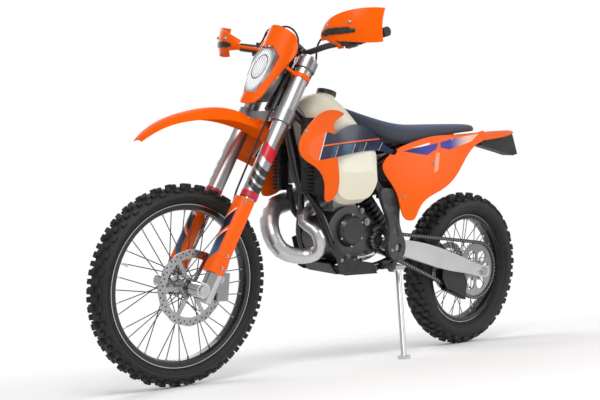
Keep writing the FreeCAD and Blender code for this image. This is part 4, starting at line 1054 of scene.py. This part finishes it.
# Rings of button bolts: how far left of the middle, ring's radius, count, shift in steps and size.
FRONT_DISC_BOLTS = (64.2, 42, 6, 0.0, 0.9)
REAR_DISC_BOLTS = (-74.2, 32, 4, 0.5, 0.9)
SPROCKET_BOLTS = (87.3, 44, 6, 0.0, 1.1)
BUTTON_SHAPE = ((-0.6, 1.0, 7.2, 7.2, 20), (1.0, 4.4, 6.2, 5.0, 20), (4.4, 4.9, 5.0, 4.2, 20))


def bolt_ring(axle, across, reach, count, shift, size):
    """Bolts set round an axle, their heads outward on their own side."""
    out = LEFT if across > 0 else -LEFT
    return [(moved(spot, (LEFT, across)), out, size) for spot in ring_spots(axle, reach, count, shift)]


class MACHINE_OT_wheels(bpy.types.Operator):
    """Make the spoke nipples, the valve stems and the bolts of the discs and the sprocket"""

    bl_idname = "machine.wheels"
    bl_label = "Wheels"

    def nipples(self, axle, reach, hub_reach, flange):
        places = []
        for number in range(SPOKES):
            side = 1 if number % 2 else -1
            lead = 1 if (number // 2) % 2 else -1
            rim_turn = 2 * math.pi * number / SPOKES
            hub_turn = rim_turn + lead * SPOKE_LEAD
            hub_out = FORWARD * math.cos(hub_turn) + UP * math.sin(hub_turn)
            rim_out = FORWARD * math.cos(rim_turn) + UP * math.sin(rim_turn)
            start = moved(axle, (hub_out, hub_reach), (LEFT, side * (flange + lead * 4)))
            end = moved(axle, (rim_out, reach), (LEFT, side * NIPPLE_ACROSS))
            places.append((end, (start - end).normalized(), 1.0))
        return places

    def valve(self, name, axle, reach):
        stem = Piece(name + "_valve_stem", name + "_wheel", "steel", finish_of("front_hub"))
        way = toward(math.cos(VALVE_TURN), 0, math.sin(VALVE_TURN)) * -1
        start = moved(axle, (way, -reach))
        for low, high, radius in VALVE_STEPS:
            stem.rod(moved(start, (way, low)), moved(start, (way, high)), radius)
        stem.done()

    def execute(self, context):
        length = sizes().nipple_length / MM
        nipple = template("nipple_form", ((-1, 4, 3.6, 3.4, 12), (4, length, 2.9, 2.5, 8)))
        for name, (axle, reach, hub_reach, flange, _) in WHEELS.items():
            repeat(name + "_nipples", nipple, self.nipples(axle, reach, hub_reach, flange),
                   name + "_wheel", finish_of("front_hub"))
        steel = finish_of("footpegs")
        button = template("button_form", BUTTON_SHAPE)
        front = bolt_ring(FRONT_AXLE, *FRONT_DISC_BOLTS)
        repeat("front_disc_bolts", button, front, "front_wheel", steel)
        rear = bolt_ring(REAR_AXLE, *REAR_DISC_BOLTS) + bolt_ring(REAR_AXLE, *SPROCKET_BOLTS)
        repeat("rear_disc_and_sprocket_bolts", button, rear, "rear_wheel", steel)
        for name, (axle, _, _, _, reach) in WHEELS.items():
            self.valve(name, axle, reach)
        return {"FINISHED"}


# Tyres: carcass corners (radius, half width) from the bead to the crown, and rows of blocks by
# (tilt, share of the pitch, half length, half width).
FRONT_TYRE = {
    "tip": 347, "crown": 45, "depth": 11, "count": 36,
    "carcass": [(266.5, 19.7), (282, 19.7), (287, 29), (296, 38.5), (306, 41.5), (315, 37), (322, 29),
                (330, 17), (335, 6)],
    "rows": [(0.25, 0.0, 10.5, 6.8), (-0.25, 0.0, 10.5, 6.8), (0.64, 0.5, 9.5, 6.6), (-0.64, 0.5, 9.5, 6.6),
             (0.98, 0.0, 11, 5.6), (-0.98, 0.0, 11, 5.6)],
}
REAR_TYRE = {
    "tip": 337, "crown": 80, "depth": 14, "count": 30,
    "carcass": [(226.5, 25.7), (243, 25.7), (250, 42), (261, 56), (275, 61.5), (290, 60), (303, 53),
                (313, 38), (320, 22), (323, 7)],
    "rows": [(0.0, 0.0, 11.5, 15), (0.33, 0.5, 11, 10.5), (-0.33, 0.5, 11, 10.5), (0.56, 0.0, 11, 9),
             (-0.56, 0.0, 11, 9), (0.77, 0.5, 13, 8), (-0.77, 0.5, 13, 8)],
}
TYRE_TURNS = 144
# The beads on a tyre's side: at its wall and at its rim, each with how far out it stands and its radius.
WALL_BEAD, WALL_BEAD_OUT = 1.2, 0.6
RIM_BEAD, RIM_BEAD_OUT, RIM_BEAD_CLEAR = 1.6, 3, 2.4
# How much the left side's blocks run ahead of the right side's, as a share of their pitch.
LEFT_LEAD_SHARE = 0.12
# A block's form before it is scaled: how much its top narrows, and how deep it stands in the carcass.
BLOCK_TAPER = 0.14
BLOCK_ROOT = 0.3


class MACHINE_OT_tyres(bpy.types.Operator):
    """Make the knobbly tyres: a carcass turned about each axle, with blocks repeated round it"""

    bl_idname = "machine.tyres"
    bl_label = "Tyres"

    def block_form(self):
        """A bevelled block of unit half length, half width and height."""
        build = bmesh.new()
        corners = []
        for top in (0, 1):
            narrow = 1 - BLOCK_TAPER * top
            for x, y in ((-1, -1), (1, -1), (1, 1), (-1, 1)):
                corners.append(build.verts.new((x * narrow, y * narrow, top * (1 + BLOCK_ROOT) - BLOCK_ROOT)))
        for face in ((0, 3, 2, 1), (4, 5, 6, 7), (0, 1, 5, 4), (1, 2, 6, 5), (2, 3, 7, 6), (3, 0, 4, 7)):
            build.faces.new([corners[index] for index in face])
        rim = [edge for edge in build.edges if max(vert.co.z for vert in edge.verts) > 0.9]
        bmesh.ops.bevel(build, geom=rim, offset=0.12, segments=2, affect="EDGES", profile=0.6)
        mesh = bpy.data.meshes.new("tread_block_form")
        build.to_mesh(mesh)
        build.free()
        obj = bpy.data.objects.new("tread_block_form", mesh)
        bpy.context.scene.collection.objects.link(obj)
        return obj

    def block_places(self, axle, form):
        """Where each block's foot stands, how it is turned and its size."""
        places = []
        centre = form["tip"] - form["crown"]
        foot = form["crown"] - form["depth"]
        for tilt, phase, long, wide in form["rows"]:
            lead = LEFT_LEAD_SHARE if tilt > 0 else 0
            for number in range(form["count"]):
                turn = 2 * math.pi * (number + phase + lead) / form["count"]
                out = FORWARD * math.cos(turn) + UP * math.sin(turn)
                along = UP * math.cos(turn) - FORWARD * math.sin(turn)
                normal = out * math.cos(tilt) + LEFT * math.sin(tilt)
                basis = Matrix((along, normal.cross(along), normal)).transposed()
                point = axle + (out * centre + normal * foot) * MM
                places.append((point, basis, (long * MM, wide * MM, form["depth"] * MM)))
        return places

    def tyre(self, name, body, axle, form, block):
        """One tyre in place of its plain CAD form."""
        half = form["carcass"]
        outline = half + [(radius, -across) for radius, across in reversed(half)]
        whole = Piece(name, body, "tyre_rubber", finish_of(name))
        rows = []
        for number in range(TYRE_TURNS):
            turn = 2 * math.pi * number / TYRE_TURNS
            out = FORWARD * math.cos(turn) + UP * math.sin(turn)
            rows.append([whole.build.verts.new(axle + (out * radius + LEFT * across) * MM)
                         for radius, across in outline])
        whole.quads(rows, True)
        places = self.block_places(axle, form)
        blocks = repeat(name + "_blocks", block, places, body, whole.material)
        whole.build.from_mesh(blocks.data)
        bpy.data.objects.remove(blocks)
        bead, wall = half[1], half[3]
        for side in (1, -1):
            at_wall = moved(axle, (LEFT, (wall[1] + WALL_BEAD_OUT) * side))
            whole.ring(at_wall, LEFT, wall[0], WALL_BEAD, 120, 6)
            at_rim = moved(axle, (LEFT, (bead[1] + RIM_BEAD_OUT) * side))
            whole.ring(at_rim, LEFT, bead[0] + RIM_BEAD_CLEAR, RIM_BEAD, 120, 6)
        obj = whole.done(32)
        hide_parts(name)

    def execute(self, context):
        block = self.block_form()
        self.tyre("front_tyre", "front_wheel", FRONT_AXLE, FRONT_TYRE, block)
        self.tyre("rear_tyre", "rear_wheel", REAR_AXLE, REAR_TYRE, block)
        bpy.data.objects.remove(block)
        return {"FINISHED"}


# The chain guide's outline ahead of the rear axle and up, and the two walls' sides.
GUIDE_OUTLINE = [(85, 216), (205, 262), (243, 318), (243, 352), (120, 352), (80, 300)]
GUIDE_WALLS = ((100, 104), (66, 70))
# The handguard's brace: where it starts across, its step, how many steps and its half height.
BRACE_START, BRACE_STEP, BRACE_STEPS, BRACE_HALF = 262, 9, 15, 10.5
BRACE_HEIGHT_SHARE = 0.34
# How far the brace stands out at its edges and along its middle, and its levels' search.
BRACE_EDGE, BRACE_CROWN, BRACE_FOOT = 3.0, 4.2, 0.2
BRACE_LEVELS = range(1150, 1340, 3)
# The radiators' louvres: the levels between which they stand, their spacing and their middle.
LOUVRES_LOW, LOUVRES_HIGH, LOUVRE_SPACING, LOUVRE_MIDDLE = 676, 900, 14, 90
LOUVRE_HALF = (5, 25, 1.3)
# The caliper's two pistons: ahead and up.
PISTON_SPOTS = ((1372, 372), (1404, 338))
# The gear lever and the brake pedal, from their shafts to their tips.
GEAR_SHAFT, BRAKE_SHAFT = ((672, 88, 436), (672, 112, 436)), ((651, -124, 389), (651, -142, 389))
GEAR_LEVER = [(672, 106, 436), (712, 112, 430), (752, 118, 428), (790, 122, 432)]
BRAKE_PEDAL = [(651, -134, 392), (690, -138, 412), (735, -140, 432), (778, -136, 440)]
GEAR_TIP = ((790, 116, 432), (790, 150, 432))
PEDAL_PAD, PEDAL_STUDS = (782, -134, 442), (-10, 0, 10)


class MACHINE_OT_guards(bpy.types.Operator):
    """Make the handguards' braces, chain guide, pedals, radiators' louvres and caliper's pistons"""

    bl_idname = "machine.guards"
    bl_label = "Guards and pedals"

    def brace(self, piece, side):
        """A strip laid along the front of one handguard."""
        def ahead_of(across, level):
            return landed("handguards", at(AHEAD, across * side, level), -FORWARD)

        rows = []
        for step in range(BRACE_STEPS):
            across = BRACE_START + step * BRACE_STEP
            levels = [level for level in BRACE_LEVELS if ahead_of(across, level) is not None]
            if len(levels) < 6:
                continue
            middle = levels[0] + (levels[-1] - levels[0]) * BRACE_HEIGHT_SHARE
            half = BRACE_HALF * (1 if 1 < step < BRACE_STEPS - 2 else 0.6)
            row = [ahead_of(across, middle + lift) for lift in (-half, -half * 0.4, half * 0.4, half)]
            if all(point is not None for point in row):
                rows.append(row)
        rings = []
        for row in rows:
            rises = (BRACE_EDGE, BRACE_CROWN, BRACE_CROWN, BRACE_EDGE)
            front = [piece.build.verts.new(moved(point, (FORWARD, rise))) for point, rise in zip(row, rises)]
            back = [piece.build.verts.new(moved(point, (FORWARD, BRACE_FOOT))) for point in reversed(row)]
            rings.append(front + back)
        piece.quads(rings, False)
        piece.cap(rings)

    def chain_guide(self, material):
        guide = Piece("chain_guide", "chassis", "black_plastic", material)
        for sides in GUIDE_WALLS:
            rows = [[guide.build.verts.new(at(x, y, z)) for x, z in GUIDE_OUTLINE] for y in sides]
            guide.quads(rows, False)
            guide.cap(rows)
        guide.block(at(145, 85, 243), (64, 19, 5), (toward(120, 0, 46), LEFT, toward(-46, 0, 120)))
        guide.done()

    def pedals(self):
        pedals = Piece("gear_lever_and_brake_pedal", "chassis", "steel", finish_of("front_axle"))
        pedals.rod(*upright_route(GEAR_SHAFT), 9)
        pedals.sweep(upright_route(GEAR_LEVER), [7, 5.5, 5.5, 6])
        pedals.rod(*upright_route(GEAR_TIP), 6.5)
        pedals.rod(*upright_route(BRAKE_SHAFT), 11)
        pedals.sweep(upright_route(BRAKE_PEDAL), [8, 5.5, 5.5, 6])
        pad = at(*PEDAL_PAD)
        pedals.block(pad, (12, 16, 3))
        for shift in PEDAL_STUDS:
            stud = moved(pad, (LEFT, shift), (UP, 2))
            pedals.rod(stud, moved(stud, (UP, 4)), 2.2, sides=10)
        pedals.done()

    def louvres(self, material):
        louvres = Piece("radiator_louvres", "chassis", "black_plastic", material)
        axes = (toward(1, 0, -0.6), LEFT, toward(0.6, 0, 1))
        for side in (1, -1):
            for level in range(LOUVRES_LOW, LOUVRES_HIGH, LOUVRE_SPACING):
                point = landed("radiator_guards", at(AHEAD, LOUVRE_MIDDLE * side, level), -FORWARD)
                if point is not None:
                    louvres.block(moved(point, (FORWARD, 2)), LOUVRE_HALF, axes)
        louvres.done()

    def pistons(self):
        pistons = Piece("caliper_pistons", "steering", "steel", finish_of("front_axle"))
        for x, z in PISTON_SPOTS:
            point = landed("front_caliper", at(x, BESIDE, z), -LEFT)
            if point is not None:
                pistons.rod(moved(point, (LEFT, -1)), moved(point, (LEFT, 4)), 16, 14)
                pistons.rod(moved(point, (LEFT, 4)), moved(point, (LEFT, 6)), 8, 7, 6)
        pistons.done()

    def execute(self, context):
        black = finish_of("airbox")
        braces = Piece("handguard_braces", "steering", "black_plastic", black)
        for side in (1, -1):
            self.brace(braces, side)
        braces.done()
        self.chain_guide(black)
        self.pedals()
        self.louvres(black)
        self.pistons()
        return {"FINISHED"}


CHAIN_PITCH = 15.875
REAR_TEETH, FRONT_TEETH = 48, 13
# The sprockets' middles ahead of the rear axle and up, and the chain's inner side.
REAR_SPROCKET, FRONT_SPROCKET = (0.0, 338.5), (630.0, 486.0)
CHAIN_SIDE = 74.6


class MACHINE_OT_chain_pins(bpy.types.Operator):
    """Make the chain's rollers and pins along its own line"""

    bl_idname = "machine.chain_pins"
    bl_label = "Chain pins"

    def execute(self, context):
        rear, front = (CHAIN_PITCH / (2 * math.sin(math.pi / teeth)) for teeth in (REAR_TEETH, FRONT_TEETH))
        along, rise = (ahead - behind for ahead, behind in zip(FRONT_SPROCKET, REAR_SPROCKET))
        span = math.hypot(along, rise)
        slope = math.atan2(rise, along)
        taper = math.asin((rear - front) / span)
        top, low = slope + math.pi / 2 - taper, slope - math.pi / 2 + taper
        straight = math.sqrt(span ** 2 - (rear - front) ** 2)
        runs = [straight, front * (top - low), straight, rear * (2 * math.pi - (top - low))]
        count = round(sum(runs) / CHAIN_PITCH)

        def on(centre, radius, angle):
            return centre[0] + radius * math.cos(angle), centre[1] + radius * math.sin(angle)

        def between(start, end, share):
            return tuple(a + (b - a) * share for a, b in zip(start, end))

        places = []
        for number in range(count):
            reach = sum(runs) * number / count
            run = 0
            while reach > runs[run]:
                reach -= runs[run]
                run += 1
            share = reach / runs[run]
            if run == 0:
                spot = between(on(REAR_SPROCKET, rear, top), on(FRONT_SPROCKET, front, top), share)
            elif run == 1:
                spot = on(FRONT_SPROCKET, front, top - share * (top - low))
            elif run == 2:
                spot = between(on(FRONT_SPROCKET, front, low), on(REAR_SPROCKET, rear, low), share)
            else:
                spot = on(REAR_SPROCKET, rear, low - share * (2 * math.pi - (top - low)))
            places.append((at(spot[0], CHAIN_SIDE, spot[1]), LEFT, 1.0))
        pin = template("pin_form", ((0, 18.6, 2.5, 2.5, 10), (5.4, 13.4, 4.9, 4.9, 14)))
        bright = metal("chain_pins_steel", (0.62, 0.60, 0.54), 0.28)
        repeat("chain_pins", pin, places, "chassis", bright)
        return {"FINISHED"}


# Covers with a ring of screws: middle ahead of the rear axle and up, side, ring's radius, count.
COVERS = (((775, 528), 1, 60.8, 6), ((680, 500), -1, 79.8, 8))
COVER_FACE = 90.2
CRANKCASE_SCREWS = ((640, 590), (690, 612), (850, 604), (884, 560), (886, 480), (850, 430), (740, 412),
                    (640, 432))
# Bolts of the panels, on both sides: node, size and places ahead of the rear axle and up.
PANEL_BOLTS = (
    ("shrouds", 1.0, ((1010, 690), (1120, 890))),
    ("shroud_wings", 1.0, ((700, 900), (860, 800), (1010, 930))),
    ("side_panels", 1.0, ((640, 850), (380, 800), (250, 900), (560, 660))),
    ("frame_guards", 0.9, ((590, 450), (575, 680))),
    ("skid_plate", 1.0, ((640, 400), (850, 420))),
    ("swingarm", 1.6, ((545, 452),)),
)
# Bolts of the front, on both sides: fork guards and mask (ahead, up), handguards (across, up),
# clamps (across, height on the fork) and fender (ahead, across).
GUARD_BOLTS = ((1420, 420), (1400, 460), (1330, 640))
HANDGUARD_BOLTS = ((290, 1246), (372, 1254.2))
CLAMP_BOLTS = ((77, 665), (77, 676), (77, 896), (77, 916))
FENDER_BOLTS = ((1190, 42), (1250, 42))
MASK_BOLTS = ((1110, 1050),)


class MACHINE_OT_fasteners(bpy.types.Operator):
    """Set bolts on the panels, covers, clamps and guards"""

    bl_idname = "machine.fasteners"
    bl_label = "Fasteners"

    def engine(self):
        places = []
        for (x, z), side, reach, count in COVERS:
            for spot in ring_spots(at(x, 0, z), reach, count):
                places.append((moved(spot, (LEFT * side, COVER_FACE)), LEFT * side, 1.0))
        for x, z in CRANKCASE_SCREWS:
            places += side_bolts("crankcase", [(x, z, 1), (x, z, -1)], 0.9)
        return places

    def panels(self):
        places = []
        for side in (1, -1):
            for node, size, spots in PANEL_BOLTS:
                places += side_bolts(node, [(x, z, side) for x, z in spots], size)
        return places

    def front(self):
        places = []
        for side in (1, -1):
            places += side_bolts("fork_guards", [(x, z, side) for x, z in GUARD_BOLTS], 0.9)
            lines = [("handguards", at(AHEAD, across * side, level), -FORWARD, 1.0)
                     for across, level in HANDGUARD_BOLTS]
            lines += [("triple_clamps", on_fork(up, BEFORE_FORK, across * side), -FORK_AHEAD, 0.9)
                      for across, up in CLAMP_BOLTS]
            lines += [("front_fender", at(ahead, across * side, ABOVE), -UP, 1.0)
                      for ahead, across in FENDER_BOLTS]
            for node, start, direction, size in lines:
                point = landed(node, start, direction)
                if point is not None:
                    places.append((point, -direction, size))
            places += side_bolts("headlight_mask", [(x, z, side) for x, z in MASK_BOLTS], 0.9)
        return places

    def execute(self, context):
        head = sizes().bolt_radius / MM
        hexagon = template("hexagon_form", (
            (-0.8, 1.2, head + 1.7, head + 1.7, 20), (1.2, 5.6, head, head - 0.3, 6)))
        socket = template("socket_form", ((-0.8, 4.4, 4.6, 4.6, 18), (4.4, 4.9, 4.6, 4.1, 18)))
        repeat("engine_screws", socket, self.engine(), "chassis", finish_of("footpegs"))
        repeat("panel_bolts", hexagon, self.panels(), "chassis", finish_of("front_axle"))
        repeat("front_bolts", hexagon, self.front(), "steering", finish_of("front_axle"))
        return {"FINISHED"}


COOLANT_RADIUS, PLUG_LEAD_RADIUS, BRAKE_LINE_RADIUS = 12.5, 4.2, 3.0
# Routes in the upright frame: ahead of the rear axle, left, up.
COOLANT_ROUTES = (
    [(948, 84, 690), (930, 66, 668), (905, 30, 650), (895, 10, 655)],
    [(948, -84, 690), (930, -100, 640), (905, -104, 590), (870, -98, 560), (842, -90, 545)],
    [(800, 30, 800), (850, 34, 846), (905, 52, 850), (936, 74, 842)],
)
PLUG_ROUTE = [(792, 0, 812), (784, 6, 850), (812, 26, 884), (850, 34, 900)]
REAR_BRAKE_ROUTE = [(628, -104, 452), (560, -112, 430), (440, -108, 420), (300, -104, 424), (180, -100, 430),
                    (110, -84, 420)]
INTAKE_ROUTE = [(646, 22, 676), (610, 34, 684), (560, 42, 694), (500, 42, 700)]
INTAKE_CLIPS = [(634, 26, 678), (594, 37, 687), (540, 42, 696)]
SPROCKET_COVER_ROUTE = [(672, 98, 522), (640, 98, 540), (606, 98, 532), (588, 98, 500), (590, 98, 474)]
# Bosses on the crankcase's sides: ahead, up, radius, height.
ENGINE_BOSSES = ((868, 596, 13, 9), (852, 640, 15, 10), (700, 424, 16, 10), (716, 604, 12, 8),
                 (690, 560, 17, 12), (866, 446, 12, 8), (780, 428, 11, 7), (800, 640, 13, 9))


class MACHINE_OT_engine_trim(bpy.types.Operator):
    """Make the intake, carburettor, coolant hoses, plug lead, bosses, sprocket cover and rear brake line"""

    bl_idname = "machine.engine_trim"
    bl_label = "Engine trim"

    def intake(self, material):
        trim = Piece("intake", "chassis", "black_plastic", material)
        trim.rod(at(718, 10, 664), at(690, 14, 668), 27, 25)
        trim.rod(at(690, 14, 668), at(640, 24, 676), 24, 24)
        trim.sweep(upright_route(INTAKE_ROUTE), [24, 23, 23, 24], 1.0, 24)
        for place in upright_route(INTAKE_CLIPS):
            trim.ring(place, toward(-0.97, 0.2, 0.17), 24, 2.2)
        trim.done()

    def carburettor(self):
        carb = Piece("carburettor", "chassis", "cast_alloy", finish_of("cylinder"))
        carb.rod(at(702, 12, 666), at(662, 20, 672), 22)
        carb.rod(at(680, 16, 670), at(676, 16, 630), 17, 14)
        carb.rod(at(680, 16, 670), at(684, 17, 712), 15, 15)
        carb.rod(at(684, 17, 712), at(685, 17, 724), 17, 15)
        carb.done()

    def bosses(self):
        bosses = Piece("engine_bosses", "chassis", "cast_alloy", finish_of("cylinder"))
        for x, z, radius, height in ENGINE_BOSSES:
            for side in (1, -1):
                point = landed("crankcase", at(x, BESIDE * side, z), LEFT * -side)
                if point is not None:
                    out = LEFT * side
                    bosses.rod(moved(point, (out, -3)), moved(point, (out, height)), radius, radius * 0.86)
                    bosses.rod(point, moved(point, (out, height + 4)), radius * 0.5, radius * 0.45, 6)
        bosses.done()

    def sprocket_cover(self, material):
        cover = Piece("sprocket_cover", "chassis", "black_plastic", material)
        cover.sweep(upright_route(SPROCKET_COVER_ROUTE), [9, 10, 10, 10, 8], 1.0, 16)
        cover.rod(at(630, 88, 486), at(630, 97, 486), 17, 15)
        cover.done()

    def brake_cylinder(self):
        pump = Piece("rear_brake_cylinder", "chassis", "cover_paint", finish_of("handlebar"))
        pump.rod(at(626, -116, 420), at(612, -116, 500), 9)
        pump.rod(at(626, -116, 420), at(629, -116, 396), 4)
        pump.done()

    def execute(self, context):
        rubber, black = finish_of("grips"), finish_of("airbox")
        coolant = [upright_route(route) for route in COOLANT_ROUTES]
        hoses("coolant_hoses", coolant, COOLANT_RADIUS, "chassis", rubber)
        hoses("plug_lead", [upright_route(PLUG_ROUTE)], PLUG_LEAD_RADIUS, "chassis", rubber)
        self.intake(black)
        self.carburettor()
        self.bosses()
        self.sprocket_cover(black)
        brake_line = [upright_route(REAR_BRAKE_ROUTE)]
        hoses("rear_brake_line", brake_line, BRAKE_LINE_RADIUS, "chassis", rubber)
        self.brake_cylinder()
        return {"FINISHED"}


# The silencer's axis and the pipe's two springs, from end to end.
SILENCER_FRONT, SILENCER_REAR = (560, -151, 758), (70, -166, 868)
SPRINGS = (((884, 34, 672), (944, 30, 655)), ((884, -28, 672), (944, -24, 655)))
SPRING_POINTS, SPRING_TURN, SPRING_RADIUS, SPRING_WIRE = 90, 0.9, 4.2, 1.1


class MACHINE_OT_exhaust_trim(bpy.types.Operator):
    """Make the pipe's springs and the silencer's outlet"""

    bl_idname = "machine.exhaust_trim"
    bl_label = "Exhaust trim"

    def spring(self, start, end):
        axis = (end - start).normalized()
        side = axis.orthogonal().normalized()
        other = axis.cross(side)
        length = (end - start).length
        points = []
        for step in range(SPRING_POINTS + 1):
            turn = step * SPRING_TURN
            middle = start + axis * length * step / SPRING_POINTS
            points.append(middle + (side * math.cos(turn) + other * math.sin(turn)) * SPRING_RADIUS * MM)
        return points

    def execute(self, context):
        steel = finish_of("front_axle")
        front, rear = at(*SILENCER_FRONT), at(*SILENCER_REAR)
        along = (rear - front).normalized()
        outlet = Piece("silencer_trim", "chassis", "steel", steel)
        outlet.rod(moved(rear, (along, -4)), moved(rear, (along, 14)), 17, 15)
        outlet.done()
        coils = [self.spring(at(*start), at(*end)) for start, end in SPRINGS]
        hoses("pipe_springs", coils, SPRING_WIRE, "chassis", steel)
        return {"FINISHED"}


FLOOR_REACH = 14.0
# The floor fades out between these distances from the machine, in metres.
FLOOR_FADE = (1.15, 2.5)
# How bright the surroundings are for light and for the camera's own view.
SKY_LIGHT, SKY_SEEN = 0.5, 1.0
# Each lamp: place and aim in the frame in metres, power in watts, size in metres.
LAMPS = {
    "key": ((2.2, 2.6, 3.2), (0, 0, 0.6), 92, 2.0),
    "side": ((-2.6, 2.6, 2.0), (-0.2, 0, 0.5), 44, 2.0),
    "back": ((-0.5, -3.0, 2.6), (0, 0, 0.6), 50, 2.5),
}
# The photo's camera on the upright machine, solved from the wheels and the fork.
CAMERA_PLACE = (3177.5, 2562.7, 792.4)
CAMERA_AHEAD = (-0.6530, -0.7560, -0.0453)
CAMERA_UP = (0.002, -0.061, 0.998)
SENSOR_WIDTH = 36
PHOTO_WIDTH = 600


class MACHINE_OT_studio(bpy.types.Operator):
    """Make the pale floor, the soft lamps and the camera"""

    bl_idname = "machine.studio"
    bl_label = "Studio"

    def floor(self, scene):
        mesh = bpy.data.meshes.new("studio_floor")
        corners = [(FLOOR_REACH * x, FLOOR_REACH * y, 0) for x, y in ((-1, -1), (1, -1), (1, 1), (-1, 1))]
        mesh.from_pydata(corners, [], [(0, 1, 2, 3)])
        floor = bpy.data.objects.new("studio_floor", mesh)
        scene.collection.objects.link(floor)
        shader = Shader("studio_floor")
        distance = shader.vector("LENGTH", shader.place())
        fade = distance.ramp(*FLOOR_FADE)
        pale = shader.node("ShaderNodeBsdfDiffuse", {}, {"Color": (0.97, 0.97, 0.97)})
        clear = shader.node("ShaderNodeBsdfTransparent")
        mesh.materials.append(shader.blend(fade, pale, clear))

    def surroundings(self, scene):
        """A white sky that lights the machine less than it shows."""
        world = bpy.data.worlds.new("studio")
        scene.world = world
        world.use_nodes = True
        tree = world.node_tree
        tree.nodes.clear()
        path = tree.nodes.new("ShaderNodeLightPath")
        seen = tree.nodes.new("ShaderNodeMath")
        seen.operation = "MAXIMUM"
        tree.links.new(path.outputs["Is Camera Ray"], seen.inputs[0])
        tree.links.new(path.outputs["Is Transmission Ray"], seen.inputs[1])
        strength = tree.nodes.new("ShaderNodeMapRange")
        strength.inputs["To Min"].default_value = SKY_LIGHT
        strength.inputs["To Max"].default_value = SKY_SEEN
        tree.links.new(seen.outputs[0], strength.inputs["Value"])
        background = tree.nodes.new("ShaderNodeBackground")
        background.inputs["Color"].default_value = (1, 1, 1, 1)
        tree.links.new(strength.outputs["Result"], background.inputs["Strength"])
        output = tree.nodes.new("ShaderNodeOutputWorld")
        tree.links.new(background.outputs[0], output.inputs["Surface"])

    def lamps(self, scene):
        for name, (place, aim, power, size) in LAMPS.items():
            lamp = bpy.data.lights.new(name, "AREA")
            lamp.energy = power
            lamp.size = size
            obj = bpy.data.objects.new(name, lamp)
            obj.location = place
            obj.rotation_euler = (Vector(aim) - Vector(place)).to_track_quat("-Z", "Y").to_euler()
            scene.collection.objects.link(obj)

    def camera(self, scene):
        lens = bpy.data.cameras.new("photo_camera")
        lens.sensor_width = SENSOR_WIDTH
        lens.lens = sizes().focal_pixels / PHOTO_WIDTH * SENSOR_WIDTH
        camera = bpy.data.objects.new("photo_camera", lens)
        ahead = toward(*CAMERA_AHEAD)
        right = ahead.cross(toward(*CAMERA_UP)).normalized()
        turn = Matrix((right, right.cross(ahead), -ahead)).transposed()
        camera.matrix_world = Matrix.Translation(at(*CAMERA_PLACE)) @ turn.to_4x4()
        scene.collection.objects.link(camera)
        scene.camera = camera

    def execute(self, context):
        scene = context.scene
        scene.view_settings.view_transform = "Standard"
        self.floor(scene)
        self.surroundings(scene)
        self.lamps(scene)
        self.camera(scene)
        return {"FINISHED"}


class MACHINE_PT_panel(bpy.types.Panel):
    """The machine's pieces and settings"""

    bl_idname = "MACHINE_PT_panel"
    bl_label = "Motorcycle"
    bl_space_type = "VIEW_3D"
    bl_region_type = "UI"
    bl_category = "Motorcycle"

    def draw(self, context):
        for group in (context.scene.machine_finish, context.scene.machine_sizes):
            for name in group.bl_rna.properties.keys():
                if name not in ("rna_type", "name"):
                    self.layout.prop(group, name)
        for operator in OPERATORS:
            self.layout.operator(operator.bl_idname)


OPERATORS = (MACHINE_OT_finishes, MACHINE_OT_seat, MACHINE_OT_controls, MACHINE_OT_wheels, MACHINE_OT_tyres,
             MACHINE_OT_guards, MACHINE_OT_chain_pins, MACHINE_OT_fasteners, MACHINE_OT_engine_trim,
             MACHINE_OT_exhaust_trim, MACHINE_OT_studio)
# The small pieces that the operators repeat, taken away before the scene is read.
FORMS = ("nipple_form", "button_form", "pin_form", "hexagon_form", "socket_form")
CLASSES = (FinishSettings, SizeSettings) + OPERATORS + (MACHINE_PT_panel,)


def register():
    for cls in CLASSES:
        bpy.utils.register_class(cls)
    bpy.types.Scene.machine_finish = bpy.props.PointerProperty(type=FinishSettings)
    bpy.types.Scene.machine_sizes = bpy.props.PointerProperty(type=SizeSettings)


def unregister():
    del bpy.types.Scene.machine_finish
    del bpy.types.Scene.machine_sizes
    for cls in reversed(CLASSES):
        bpy.utils.unregister_class(cls)


def main():
    register()
    bpy.ops.machine.finishes()
    bpy.ops.machine.seat()
    bpy.ops.machine.controls()
    bpy.ops.machine.wheels()
    bpy.ops.machine.tyres()
    bpy.ops.machine.guards()
    bpy.ops.machine.chain_pins()
    bpy.ops.machine.fasteners()
    bpy.ops.machine.engine_trim()
    bpy.ops.machine.exhaust_trim()
    for name in FORMS:
        bpy.data.objects.remove(bpy.data.objects[name])
    bpy.ops.machine.studio()


if __name__ == "__main__":
    main()
